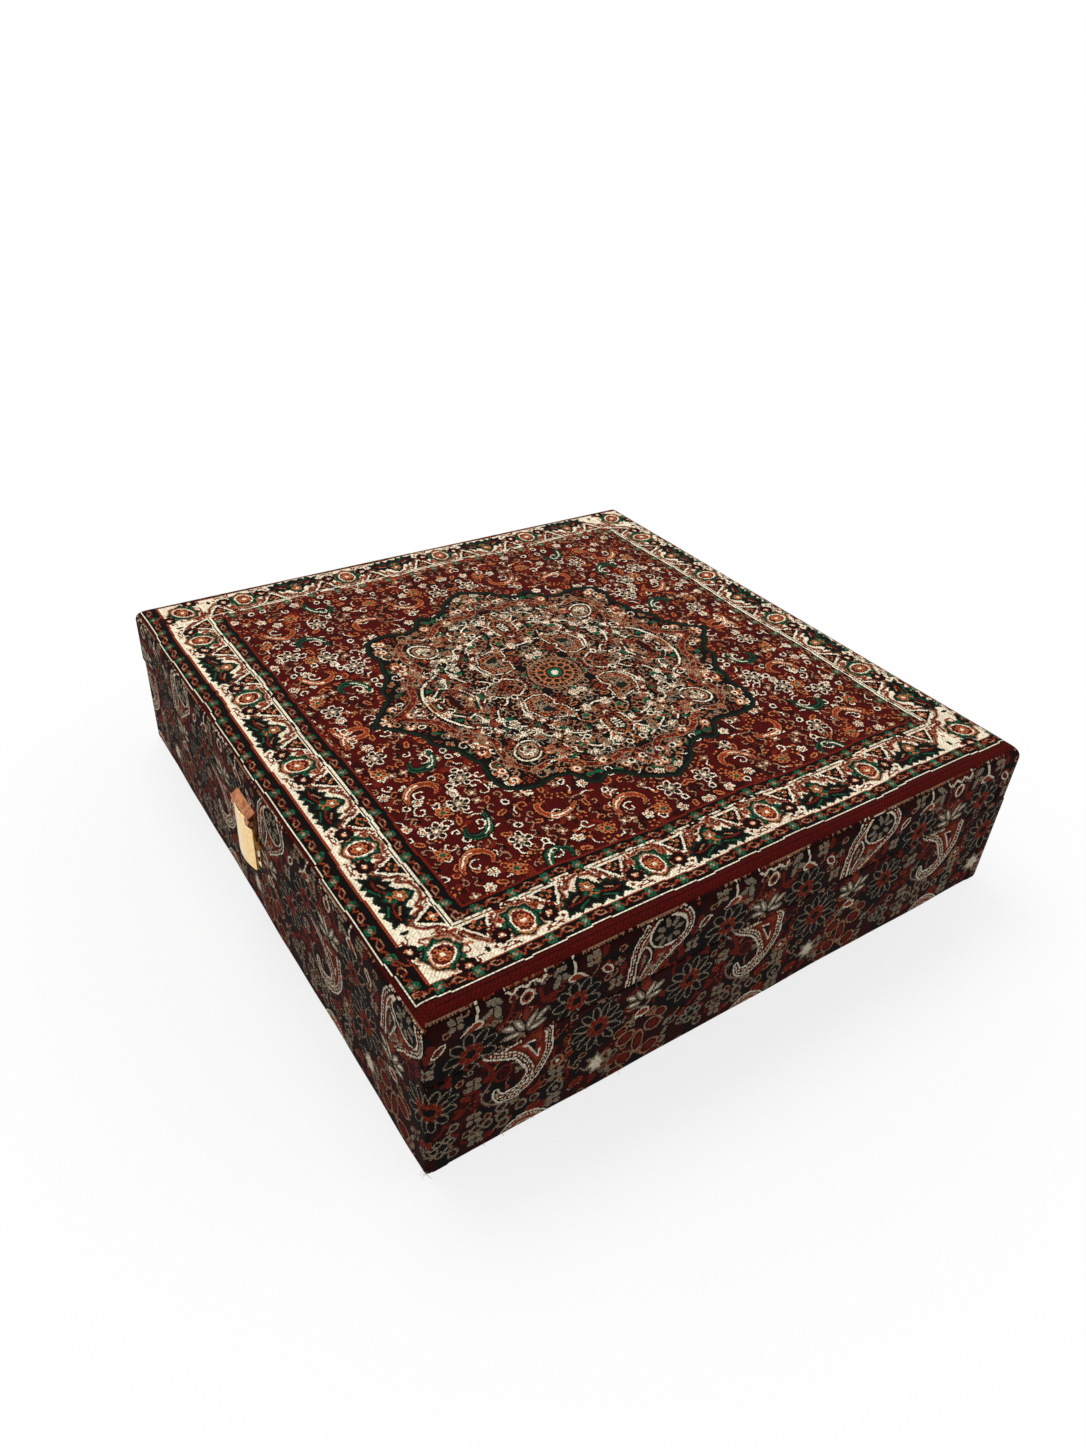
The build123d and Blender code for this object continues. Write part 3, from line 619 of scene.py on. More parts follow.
def weave_lid_side(start):
    """Side cloth of the lid: large drop paisleys with a lotus spray and daisies between them."""
    rng = np.random.default_rng(5)
    loom = Loom(-160, 160, 40, 90, "black")
    repeated(loom, start)
    draw_ground(loom, rng, 45, 82)
    # places along the side are measured from the middle of the paisley's head
    loom.leaf([(-14.4, 44), (-14.2, 58), (-12.4, 69), (-6, 76.5), (3, 79), (11, 76), (14.2, 69), (12.6, 62),
               (5.6, 56), (-2.4, 50), (-6, 44)],
              "0 cream, 0.7 black, 1.3 cream/rust, 2.0 brick, 3.2 cream, 3.9 rust, 5.2 tan, 5.8 black", 0.9)
    loom.leaf([(-11, 46), (-11, 60), (-7.5, 66), (-4, 60), (-7.5, 52)],
              "0 cream, 0.7 black, 1.6 brick, 2.6 sage")
    loom.oval(2.6, 68.2, 9.0, 7.4, "cream", -0.35)
    loom.oval(2.6, 68.2, 8.2, 6.6, "black", -0.35)
    loom.petals(2.6, 68.2, 6.6, 8, "sage", "sage", "black", 0.2, wide=0.62, start=0.34)
    loom.leaf([(-3, 62), (4, 60), (9, 63), (4, 57), (-2, 54)], "0 brick, 1.4 rust, 2.6 tan")
    for x, z in ((-2.6, 52.6), (-7.4, 49.0)):
        loom.line([(x - 2.6, z + 3.4), (x, z), (x + 3.6, z + 4.4)], 1.2, "sage")
    # lotus spray, half a repeat further on
    loom.frames = [(f[0] + 53, *f[1:]) for f in loom.frames]
    loom.twin([(0, 83), (8.4, 82), (8.2, 74.4), (5.6, 72.6), (2.6, 74.2), (0, 72.8)],
              "0 cream, 0.8 brick, 2.4 rust, 4.2 brick")
    loom.rings(0, 69, 2.9, 3.3, "1 cream, 0.72 rust, 0.4 black")
    loom.twin([(0, 66), (2.2, 60), (1.8, 57), (0, 54.6)], "0 brick, 0.8 rust")
    w_leaf(loom, 0, 55.2, 0.98)
    for way in (1, -1):
        for dx, dz, turn in ((12.4, 73.4, 0.5), (14.6, 69.6, -0.4), (11.2, 68.4, 1.4)):
            loom.oval(way * dx, dz, 3.9, 1.9, "black", way * turn)
            loom.oval(way * dx, dz, 3.3, 1.35, "sage", way * turn)
        side = (way, 1)
        loom.leaf(np.array(((16, 67), (19, 69.6), (24.4, 65.6), (24, 63), (19, 65))) * side,
                  "0 cream, 0.75 rust")
        loom.stroke(np.array(((19, 70), (18.6, 76), (20, 82))) * side, 1.0, "cream")
        loom.stroke(np.array(((5, 70), (7, 63), (12, 60))) * side, 1.4, "brick")
        loom.oval(way * 20.6, 78.6, 2.6, 1.5, "rust", way * 1.0)
        crossflower(loom, way * 26.4, 72.0, 3.5)
        daisy(loom, way * 20.8, 54.6, 10.6, 9, 0.4 * way)
        crossflower(loom, way * 37.4, 54.6, 3.5)
        loom.oval(way * 33, 64, 3.3, 1.8, "cream", way * -0.8)
        loom.oval(way * 33, 64, 2.6, 1.1, "brick", way * -0.8)
    # painted shade: a one-sided dark edge beside the pale threads
    loom.shadow(0.8, rng)
    return loom


def weave_base_side(start):
    """Side cloth of the base: hooked paisleys, daisies, small leaf sprays and grey flower chains."""
    rng = np.random.default_rng(6)
    loom = Loom(-160, 160, -20, 62, "black")
    repeated(loom, start)
    draw_ground(loom, rng, 0, 50)
    # places along the side are measured from the middle of the hooked paisley
    loom.stroke([(-20, 50), (-15.4, 42.6), (-14.2, 37.4), (-18.2, 30), (-16.4, 24.6), (-11, 20.6)],
                1.6, "brick")
    loom.stroke([(-15.4, 34.6), (-18.6, 29.6), (-16.4, 24.6), (-10.8, 20.8)], 0.9, "sage")
    loom.leaf([(-18.4, 50), (-7.4, 41.6), (-3.6, 36.2), (-1.2, 30), (-4.4, 26.6), (-9.6, 26), (-12.4, 30.4),
               (-14.4, 28.2), (-12.4, 22.6), (-5.6, 19.8), (3, 24.4), (8.8, 33), (9.6, 41.4), (6.2, 50)],
              "0 cream, 0.75 black, 1.3 cream/rust, 2.0 black, 2.5 tan/cream, 3.3 brick, 4.6 rust, "
              "5.6 cream, 6.2 black", 0.9)
    loom.rings(-10.0, 37.0, 3.9, 3.9, "1 brick, 0.72 black, 0.5 crimson, 0.25 black")
    loom.leaf([(-4, 48), (2, 45), (2.4, 38), (5.4, 44), (4.6, 50)], "0 brick, 1.2 rust")
    crossflower(loom, -21.8, 38.6)
    loom.rings(12.2, 27.6, 3.0, 3.0, "1 tan, 0.66 brick, 0.3 cream")
    daisy(loom, 29.4, 34.8, 11.8, 12)
    daisy(loom, -38.2, 35.4, 11.0, 11)
    # leaf spray over a five-lobed flower
    x = -59.6
    loom.twin([(0, 49), (3.0, 45.6), (2.2, 42), (0, 38.6)], "0 brick, 0.9 rust", at=x)
    w_leaf(loom, x, 40.0, 0.92)
    loom.stroke([(x - 3, 35.4), (x, 33.2), (x + 3, 35.4)], 1.0, "sage")
    loom.twin([(0, 33.2), (3.4, 31.8), (3.2, 29.2), (0, 28.2)], "0 cream, 0.8 rust", at=x)
    lobes = ((-6.4, 20.2, 4.6, 3.6, 0.4), (6.4, 20.4, 4.6, 3.6, -0.4), (-5.8, 8.4, 4.2, 3.6, -0.5),
             (6.4, 7.6, 4.8, 3.6, 0.4), (0, 14.4, 2.8, 6.4, 0.0), (8.6, 3.0, 4.0, 2.2, 0.1),
             (-9.6, 3.6, 4.0, 2.2, -0.2), (-9.4, 25.2, 3.6, 2.4, 0.5), (9.4, 25.4, 3.6, 2.4, -0.5))
    for dx, dz, rx, ry, turn in lobes:
        loom.rings(x + dx, dz, rx, ry, "1 tan, 0.8 crimson, 0.5 brick", turn)
    for way in (1, -1):
        for dz in (7, 12, 17):
            loom.oval(x + way * 13.4, dz, 2.2, 1.1, "sage", way * 1.1)
    # grey flower chains
    for fx, fz in ((-21.2, 19.6), (-20.4, 7.8), (12.0, 20.4), (12.0, 5.8)):
        crossflower(loom, fx, fz, 3.8)
    for fx, fz, r in ((-24, 12.8, 2.0), (-20, 13.0, 2.2), (-15.6, 13.4, 2.4), (-10, 18.4, 2.6),
                      (-9.6, 13.0, 2.8), (-9.0, 8.4, 2.6), (-2.4, 13.4, 2.6), (3.2, 13.2, 2.2),
                      (-38.8, 12.6, 2.3), (-29.2, 20.6, 2.2), (-29.4, 6.4, 2.4)):
        loom.rings(fx, fz, r, r, "1 sage, 0.6 black, 0.28 brick")
    loom.petals(-33.6, 13.4, 5.4, 6, "sage", "black", "black", 0.1, rim=0.8)
    loom.twin([(0, 16.6), (3.8, 13.6), (3.4, 10.2), (0, 8.2)], "0 sage, 0.9 black, 2.2 sage", at=12.2)
    loom.twin([(0, 20.4), (1.8, 17.8), (5.2, 18.6), (3.4, 15.4), (6.0, 12.4), (3.0, 11.8), (2.6, 8.4),
               (0, 10.2)], "0 sage, 1.2 cream", at=30.6)
    for dx, dz in ((3.0, 18.2), (3.0, 8.4), (21.6, 9.0), (39.4, 11.0)):
        loom.oval(dx, dz, 3.4, 1.9, "rust", 0.3)
        loom.oval(dx, dz, 2.2, 1.1, "brick", 0.3)
    # heads of the next row, cut by the underside
    loom.leaf([(-13, -8), (-11.6, 0.6), (-4.6, 6.6), (4.4, 5.6), (11.4, -1.2), (13, -10)],
              "0 cream, 0.8 black, 1.3 cream/rust, 2.2 tan, 3.0 rust, 4.2 cream, 4.9 brick", 0.9)
    # painted shade: a one-sided dark edge beside the pale threads
    loom.shadow(0.8, rng)
    return loom


# Cloth meshes

def ripple(x, y, z):
    """Gentle unevenness of a hand-covered box, in millimetres."""
    return (0.16 * np.sin(x / 17.0 + 0.8 * np.sin(y / 23.0)) + 0.13 * np.sin(y / 14.0 + z / 9.0 + 1.0)
            + 0.07 * np.sin(x / 6.1 + y / 7.3 + z / 5.0))


def to_mesh(name, points, quads, colours=None, layout=None, merge=True):
    """Mesh object from arrays of points (millimetres) and four-cornered faces. Merging joins points
    that lie together; a face that loses a corner by it becomes a triangle, or goes."""
    if merge:
        key = np.round(points * 2000).astype(np.int64)
        key = (key[:, 0] * 2**42) ^ (key[:, 1] * 2**21) ^ key[:, 2]
        _, first, back = np.unique(key, return_index=True, return_inverse=True)
        quads = back.reshape(-1)[quads]
        points = points[first]
    keep = quads != np.roll(quads, 1, axis=1)
    full = keep.sum(1) >= 3
    full &= (quads[:, 0] != quads[:, 2]) & (quads[:, 1] != quads[:, 3])
    quads, keep = quads[full], keep[full]
    counts = keep.sum(1)
    mesh = bpy.data.meshes.new(name)
    mesh.vertices.add(len(points))
    mesh.vertices.foreach_set("co", (points * MM).astype(np.float32).ravel())
    mesh.loops.add(int(counts.sum()))
    mesh.loops.foreach_set("vertex_index", quads[keep].astype(np.int32))
    mesh.polygons.add(len(quads))
    mesh.polygons.foreach_set("loop_start", np.concatenate(((0,), np.cumsum(counts)[:-1])).astype(np.int32))
    mesh.update(calc_edges=True)
    if layout is not None:
        uv = mesh.uv_layers.new(name="OFBake")
        uv.data.foreach_set("uv", layout[full][keep].astype(np.float32).ravel())
    if colours is not None:
        layer = mesh.color_attributes.new("yarn", "BYTE_COLOR", "CORNER")
        shade = np.repeat(colours[full][:, None, :], 4, axis=1)[keep]
        rgba = np.column_stack((shade, np.ones(len(shade))))
        layer.data.foreach_set("color_srgb", rgba.astype(np.float32).ravel())
    mesh.polygons.foreach_set("use_smooth", np.ones(len(quads), bool))
    piece = bpy.data.objects.new(name, mesh)
    bpy.context.scene.collection.objects.link(piece)
    return piece


FOLD, FOLD_STEP = 9.0, 0.45  # the corner's folded cloth reaches this far, and stands this proud
SIDES = ((1, 0, 0, 1), (0, 1, -1, 0), (-1, 0, 0, -1), (0, -1, 1, 0))  # outward, then along


class Cover:
    """Skin in one piece: four sides that follow a profile, and a flat top or bottom where it has one.
    half is half the width and depth, and step the size of its faces."""

    def __init__(self, half, centre, profile, corner, step=THREAD):
        self.half, self.centre, self.corner, self.step = half, centre, corner, step
        self.inset, self.height, self.arc = profile
        self.points, self.quads, self.shades, self.layout = [], [], [], []
        self.count = 0

    def columns(self, reach):
        """Lines of points from one end of a side to the other."""
        return np.linspace(-reach, reach, int(round(2 * reach / self.step)) + 1)

    def add_grid(self, points, shades, layout):
        rows, cols = points.shape[:2]
        index = np.arange(rows * cols).reshape(rows, cols) + self.count
        quads = np.stack((index[:-1, :-1], index[:-1, 1:], index[1:, 1:], index[1:, :-1]), -1).reshape(-1, 4)
        corners = np.stack((layout[:-1, :-1], layout[:-1, 1:], layout[1:, 1:], layout[1:, :-1]), 2)
        self.points.append(points.reshape(-1, 3))
        self.quads.append(quads)
        self.shades.append(None if shades is None else shades.reshape(-1, 3))
        self.layout.append(corners.reshape(-1, 4, 2))
        self.count += rows * cols

    def add_sides(self, colour, place_in_layout, rough=1.0):
        """colour(side, along) gives the colours at the middles of the faces."""
        for side, (ox, oy, ax, ay) in enumerate(SIDES):
            out, reach = self.half if ox else self.half[::-1]
            along = self.columns(reach)
            inset, arc = self.inset[:, None], self.arc[:, None]
            edge = reach - inset
            a = np.clip(along[None, :], -edge, edge)
            o = np.broadcast_to(out - inset, a.shape).copy()
            r = np.minimum(self.corner, RIM - np.minimum(inset, RIM) + 0.01)
            over = np.maximum(np.abs(a) - (edge - r), 0)
            size = np.hypot(over, r)
            a = np.where(over > 0, np.sign(a) * (edge - r + over * r / size), a)
            o = np.where(over > 0, o - r + r * r / size, o)
            z = np.broadcast_to(self.height[:, None], a.shape)
            x = self.centre[0] + o * ox + a * ax
            y = self.centre[1] + o * oy + a * ay
            fade = np.clip((reach - 3 - np.abs(a)) / 8, 0, 1) * rough
            lift = ripple(x, y, z) * fade * np.clip((6.0 - inset) / 6, 0, 1)
            if ox and self.step == THREAD:  # the covers' corners are folded on the left and right sides
                fold = np.clip((np.abs(a) - reach + FOLD) / 0.7, 0, 1)
                fold = fold * np.clip((reach - 1.7 - np.abs(a)) / 1.2, 0, 1)
                lift = lift + fold * (inset < 0.01) * np.clip((TOP - EDGE - z) / 3, 0, 1) * FOLD_STEP
            x, y = x + lift * ox, y + lift * oy
            shades = colour(side, (along[:-1] + along[1:]) / 2) if colour else None
            u, v = place_in_layout(side, along[None, :] / reach * 0.5 + 0.5, arc / self.arc[-1])
            layout = np.stack(np.broadcast_arrays(u, v), -1)
            self.add_grid(np.stack((x, y, z), -1), shades, np.broadcast_to(layout, (*a.shape, 2)))

    def add_flat(self, inset, height, colour, place_in_layout, rough=1.0, down=False):
        xs, ys = self.columns(self.half[0]), self.columns(self.half[1])
        ex, ey = self.half[0] - inset, self.half[1] - inset
        x, y = np.meshgrid(np.clip(xs, -ex, ex) + self.centre[0], np.clip(ys, -ey, ey) + self.centre[1])
        dx, dy = ex - np.abs(x - self.centre[0]), ey - np.abs(y - self.centre[1])
        fade = np.clip(np.minimum(dx, dy) / 9, 0, 1)
        z = height + rough * ripple(x, y, 0) * fade
        middles = [(line[:-1] + line[1:]) / 2 + shift for line, shift in zip((xs, ys), self.centre)]
        shades = colour(*middles) if colour else None
        u, v = place_in_layout((x - x.min()) / (x.max() - x.min()), (y - y.min()) / (y.max() - y.min()))
        points = np.stack((x, y, z), -1)
        layout = np.stack((u, v), -1)
        if down:
            points, layout = points[::-1], layout[::-1]
            shades = None if shades is None else shades[::-1]
        self.add_grid(points, shades, layout)

    def build(self, name):
        shades = None if self.shades[0] is None else np.concatenate(self.shades)
        return to_mesh(name, np.concatenate(self.points), np.concatenate(self.quads), shades,
                       np.concatenate(self.layout))


def profile(*runs):
    """Inset, height and run length along a chain of straight lines and quarter rounds."""
    points = [np.array(runs[0][:2], float)]
    for x, z, *bow in runs[1:]:
        a, b = points[-1], np.array((x, z), float)
        length = np.hypot(*(b - a)) * (1.11 if bow else 1)
        count = max(int(round(length / THREAD)), 1 if not bow else 3)
        t = np.arange(1, count + 1)[:, None] / count
        if bow:  # quarter round that leaves along the first axis when bow is 0 and along the second when 1
            angle = t * math.pi / 2
            ways = (np.sin(angle), 1 - np.cos(angle))
            step = np.hstack(ways[::-1] if bow[0] else ways) * (b - a)
        else:
            step = t * (b - a)
        points += list(a + step)
    p = np.array(points)
    arc = np.concatenate(((0,), np.cumsum(np.hypot(*np.diff(p, axis=0).T))))
    return p[:, 0], p[:, 1], arc


def yarn_shades(codes, seed):
    """Colours of the faces, with the twill's darker threads and the small unevenness of spun yarn."""
    rng = np.random.default_rng(seed)
    shades = PALETTE[codes]
    rows = rng.normal(1, 0.04, (codes.shape[0], 1, 1))
    step = np.add.outer(np.arange(codes.shape[0]), np.arange(codes.shape[1])) % 3
    pale = np.isin(codes, [CODE["cream"], CODE["tan"], CODE["orange"]])
    twill = np.where(step == 0, np.where(pale, 0.90, 0.72), np.where(pale, 1.03, 1.06))[:, :, None]
    return np.clip(shades * rows * twill * rng.normal(1, 0.08, (*codes.shape, 1)), 0, 1)


def wander(x, y):
    """How far the woven lines stray from straight."""
    return (0.55 * np.sin(y / 13.0 + 0.6) + 0.22 * np.sin(y / 5.3 + x / 31.0) + 0.1 * np.sin(y / 2.1),
            0.55 * np.sin(x / 15.0 + 2.0) + 0.22 * np.sin(x / 5.9 + y / 27.0) + 0.1 * np.sin(x / 2.3))


top_loom = weave_top()
lid_looms = [weave_lid_side(start) for start in (-55.4, -2.0, -57.0, -83.0)]
base_looms = [weave_base_side(start) for start in (0.1, -30.0, -3.0, -32.0)]

lid_profile = profile((EDGE, TOP), (0, TOP - EDGE, 0), (0, SEAM_HIGH + 0.6), (0.6, SEAM_HIGH, 1),
                      (RIM - 0.5, SEAM_HIGH), (RIM, SEAM_HIGH + 0.5, 0), (RIM, SEAM_HIGH + TURN_IN))
SIDE_SHADE = 0.84  # painted shade: the side cloth's colours are made darker than the top's, for the dimmer light on the upright sides
BAND_END = (3.8, 5.4, 7.2, 5.4)  # where the plain band stops, from the flat's edge: right, back, left, front


def lid_side_colour(side, along):
    """The top's border runs over the rounded edge; below its plain band the side pattern starts."""
    ox, oy, ax, ay = SIDES[side]
    arc = (lid_profile[2][:-1] + lid_profile[2][1:]) / 2
    a, w = np.meshgrid(along, arc)
    out = (HALF_WIDTH if ox else HALF_DEPTH) - EDGE
    x, y = LID_CENTRE[0] + ox * (out + w) + ax * a, LID_CENTRE[1] + oy * (out + w) + ay * a
    sx, sy = wander(x, y)
    codes = top_loom.at(x + sx, y + sy)
    z = TOP - EDGE + math.pi / 2 * EDGE - w
    stray = 0.4 * np.sin(a / 13.0) + 0.2 * np.sin(a / 3.7)
    place = (ax + ay) * a + LID_CENTRE[1] * ay + stray * 0.5
    side_codes = lid_looms[side].at(place, np.maximum(z, 44) + stray)
    scallop = BAND_END[side] + 0.55 * np.sin(a * 2 * math.pi / 2.6) ** 2
    codes = np.where(w > BAND_END[side], side_codes, codes)
    torn = np.sin(a * 0.21 + side) + np.sin(a * 0.083 + 1.0) + 0.6 * np.sin(a * 1.9)
    below = w - BAND_END[side]
    edge = (below > 0.2) & (w < scallop + 0.6) & (torn > 0.1)
    codes = np.where(edge, CODE["tan"], codes)
    codes = np.where((below > 1.1) & (below < 2.0), CODE["black"], codes)
    # painted shade: below the plain band the colours are darkened like the rest of the side cloth
    side_shade = np.where(below > 0, SIDE_SHADE, 1.0)[:, :, None]
    return yarn_shades(codes, 20 + side) * side_shade


def base_side_colour(side, along):
    """The side pattern hangs from the seam."""
    ax, ay = SIDES[side][2:]
    arc = (base_profile[2][:-1] + base_profile[2][1:]) / 2
    a, w = np.meshgrid(along, arc)
    z = SEAM_LOW - (w - base_outer_start)
    stray = 0.4 * np.sin(a / 11.0 + 1) + 0.2 * np.sin(a / 4.1)
    codes = base_looms[side].at((ax + ay) * a + stray * 0.5, z + stray)
    # painted shade: the base's side colours are darkened as well
    return yarn_shades(codes, 30 + side) * SIDE_SHADE


def top_colour(xs, ys):
    """Colours of the flat top."""
    x, y = np.meshgrid(xs, ys)
    sx, sy = wander(x, y)
    return yarn_shades(top_loom.at(x + sx, y + sy), 40)


# The bake layout keeps the top in a square and the four sides in strips beside and below it
def top_place(u, v):
    return 0.004 + 0.70 * u, 0.296 + 0.70 * v


def strip_place(side, u, v):
    if side < 2:
        return 0.712 + 0.138 * (v + side * 1.04), 0.004 + 0.99 * u
    return 0.004 + 0.70 * u, 0.004 + 0.138 * (v + (side - 2) * 1.04)


def band_place(side, u, v):
    return 0.004 + 0.99 * u, 0.004 + 0.245 * (v + side * 1.01)


lid_cover = Cover((HALF_WIDTH, HALF_DEPTH), LID_CENTRE, lid_profile, CORNER)
lid_cover.add_flat(EDGE, TOP, top_colour, top_place)
lid_cover.add_sides(lid_side_colour, strip_place)
lid_cloth = lid_cover.build("lid_carpet_cloth")

base_profile = profile((RIM, SEAM_LOW - TURN_IN), (RIM, SEAM_LOW - 0.5), (RIM - 0.5, SEAM_LOW, 1),
                       (0.6, SEAM_LOW), (0, SEAM_LOW - 0.6, 0), (0, 1.4), (1.2, TABLE_GAP, 1),
                       (TURN_UNDER, TABLE_GAP), (TURN_UNDER, 1.0))
base_outer_start = base_profile[2][int(np.argmax(base_profile[0] <= 0.001))]
base_cover = Cover((HALF_WIDTH, HALF_DEPTH), (0.0, 0.0), base_profile, CORNER)
base_cover.add_sides(base_side_colour, band_place)
base_cloth = base_cover.build("base_carpet_cloth")


# Materials

class Nodes:
    """Adds nodes to a tree. An input is named or numbered, and takes a value or another node's output."""

    def __init__(self, tree):
        self.nodes, self.links = tree.nodes, tree.links

    def feed(self, target, inputs):
        for name, value in inputs.items():
            if isinstance(value, bpy.types.NodeSocket):
                self.links.new(value, target.inputs[name])
            else:
                target.inputs[name].default_value = value

    def add(self, kind, inputs, out=0, **settings):
        """New node; gives one of its outputs."""
        made = self.nodes.new("ShaderNode" + kind)
        for name, value in settings.items():
            setattr(made, name, value)
        self.feed(made, inputs)
        return made.outputs[out]


class Finish(Nodes):
    """A material under way. Its places are in millimetres, so textures keep their real scale."""

    def __init__(self, name, values):
        self.material = bpy.data.materials.new(name)
        self.material.use_nodes = True
        super().__init__(self.material.node_tree)
        self.shader = self.nodes["Principled BSDF"]
        self.feed(self.shader, values)
        spot = self.add("TexCoord", {}, "Object")
        self.place = self.add("VectorMath", {0: spot, "Scale": 1000.0}, operation="SCALE")

    def noise(self, pitch, detail, roughness=0.55, stretch=None):
        place = self.place
        if stretch:
            place = self.add("VectorMath", {0: place, 1: stretch}, operation="MULTIPLY")
        return self.add("TexNoise", {"Vector": place, "Scale": 1 / pitch, "Detail": detail,
                                     "Roughness": roughness})

    def blend(self, value, *stops):
        """Colour that goes over from one (value, colour) stop to the other."""
        made = self.nodes.new("ShaderNodeValToRGB")
        for element, stop in zip(made.color_ramp.elements, stops):
            element.position, element.color = stop
        self.feed(made, {"Fac": value})
        return made.outputs["Color"]

    def colour(self, value):
        self.feed(self.shader, {"Base Color": value})

    def bump(self, height, strength, distance):
        normal = self.add("Bump", {"Height": height, "Strength": strength, "Distance": distance})
        self.feed(self.shader, {"Normal": normal})


def srgb(*rgb):
    """Linear colour for a colour as it looks on screen."""
    return (*(c / 12.92 if c <= 0.04045 else ((c + 0.055) / 1.055) ** 2.4 for c in rgb), 1.0)


def carpet_material(name):
    """Woven cloth: yarn colours from the mesh, a little worn, with ribs and fuzz."""
    cloth = Finish(name, {"Roughness": 0.86, "Specular IOR Level": 0.05})
    worn = cloth.blend(cloth.noise(26.0, 4.0), (0.25, (0.86, 0.85, 0.84, 1)), (0.75, (1.1, 1.09, 1.07, 1)))
    yarn = cloth.add("Attribute", {}, attribute_name="yarn")
    cloth.colour(cloth.add("Mix", {"Factor": 1.0, "A": yarn, "B": worn}, "Result", data_type="RGBA",
                           blend_type="MULTIPLY"))
    height = cloth.noise(0.5, 2.0)
    for axis in "XYZ":
        along = cloth.add("SeparateXYZ", {0: cloth.place}, axis)
        turn = cloth.add("Math", {0: along, 1: 2 * math.pi / RIB_PITCH}, operation="MULTIPLY")
        rib = cloth.add("Math", {0: turn}, operation="SINE")
        height = cloth.add("Math", {0: rib, 1: 0.5, 2: height}, operation="MULTIPLY_ADD")
    cloth.bump(height, 0.35, 0.00022)
    return cloth.material


def velvet_material(name, deep, light):
    velvet = Finish(name, {"Roughness": 0.92, "Sheen Weight": 0.55, "Sheen Roughness": 0.35,
                           "Sheen Tint": srgb(0.95, 0.62, 0.58), "Specular IOR Level": 0.15})
    velvet.colour(velvet.blend(velvet.noise(14.0, 5.0, 0.6), (0.3, srgb(*deep)), (0.72, srgb(*light))))
    velvet.bump(velvet.noise(0.35, 2.0), 0.5, 0.0002)
    return velvet.material


def felt_material(name, deep, light, pitch=1.2):
    felt = Finish(name, {"Roughness": 0.95, "Sheen Weight": 0.25})
    fibre = felt.noise(pitch, 6.0, 0.7)
    felt.colour(felt.blend(fibre, (0.3, srgb(*deep)), (0.75, srgb(*light))))
    felt.bump(fibre, 0.6, 0.0003)
    return felt.material


def gold_material(name, light, deep, rough):
    """Polished plated metal with fine scratches and a little dulling."""
    metal = Finish(name, {"Metallic": 1.0})
    dull = metal.noise(2.6, 5.0, 0.6)
    metal.colour(metal.blend(dull, (0.3, srgb(*deep)), (0.62, srgb(*light))))
    spread = metal.add("MapRange", {"Value": dull, "To Min": rough - 0.08, "To Max": rough + 0.14})
    metal.feed(metal.shader, {"Roughness": spread})
    metal.bump(metal.noise(0.6, 3.0, stretch=(3.0, 3.0, 0.25)), 0.12, 0.00008)
    return metal.material


def board_material(name):
    wood = Finish(name, {"Roughness": 0.7})
    grain = wood.noise(1.6, 6.0, 0.65, stretch=(0.12, 1.0, 1.0))
    wood.colour(wood.blend(grain, (0.3, srgb(0.55, 0.40, 0.25)), (0.7, srgb(0.76, 0.61, 0.42))))
    wood.bump(grain, 0.2, 0.0002)
    return wood.material


RIB_PITCH = 1.2  # of the ridges in the carpet cloth
carpet = carpet_material("carpet_cloth")
velvet = velvet_material("wine_velvet", (0.30, 0.045, 0.055), (0.42, 0.075, 0.085))
felt = felt_material("dark_felt", (0.08, 0.07, 0.07), (0.17, 0.15, 0.14))
foam = felt_material("foam", (0.74, 0.70, 0.60), (0.86, 0.82, 0.72), 0.8)
gold = gold_material("gold_plate", (0.98, 0.86, 0.62), (0.93, 0.74, 0.46), 0.22)
copper = gold_material("coppery_gold", (0.80, 0.54, 0.38), (0.52, 0.29, 0.19), 0.3)
board = board_material("board")


def dress(piece, finish):
    piece.data.materials.clear()
    piece.data.materials.append(finish)


# Covers, linings and pads


def lay(piece, finish, body, replaced):
    """Finish a sheet of cloth, attach it to its body and hide the parts it replaces."""
    dress(piece, finish)
    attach(piece, body)
    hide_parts(*replaced)


lay(lid_cloth, carpet, "lid", ["lid_cover_cloth"])
lay(base_cloth, carpet, "base", ["base_cover_cloth"])


def sheet_cover(name, half, centre, runs, flat, corner=0.2, step=2.5, rough=1.0, down=False):
    """Plain sheet or band of cloth at a coarser pitch."""
    cover = Cover(half, centre, profile(*runs), corner, step)
    if flat:
        cover.add_flat(*flat, None, top_place, rough, down)
    cover.add_sides(None, strip_place if flat else band_place, 0.3)
    return cover.build(name)


inner = (144.2, 143.2)
floor_cloth = sheet_cover("floor_velvet", inner, (0, 0),
                          ((0.4, FLOOR), (0, FLOOR - 0.4, 0), (0, FLOOR - 0.8)), (0.4, FLOOR), rough=0.5)
lay(floor_cloth, velvet, "base", ["base_floor_lining"])
ceiling_cloth = sheet_cover("ceiling_velvet", inner, LID_CENTRE,
                            ((0.4, CEILING), (0, CEILING + 0.4, 0), (0, CEILING + 0.8)), (0.4, CEILING),
                            rough=0.5, down=True)
lay(ceiling_cloth, velvet, "lid", ["lid_top_lining"])
low, high = SEAM_LOW - TURN_IN, SEAM_HIGH + TURN_IN  # where the carpet cloth ends inside
wall_cloth = sheet_cover("wall_velvet", inner, (0, 0),
                         ((0.0, low), (0.5, low), (CLOTH, low - 0.3, 0), (CLOTH, FLOOR)), None)
lay(wall_cloth, velvet, "base", ["base_wall_lining"])
lid_wall_cloth = sheet_cover("lid_wall_velvet", inner, LID_CENTRE,
                             ((0.0, high), (0.5, high), (CLOTH, high + 0.3, 0), (CLOTH, CEILING)), None)
lay(lid_wall_cloth, velvet, "lid", ["lid_wall_lining"])
foot = sheet_cover("underside_felt_sheet", (136.2, 135.2), (0, 0),
                   ((0.5, 0.0), (0, 0.5, 0), (0, 1.0)), (0.5, 0.0), rough=0.0, down=True)
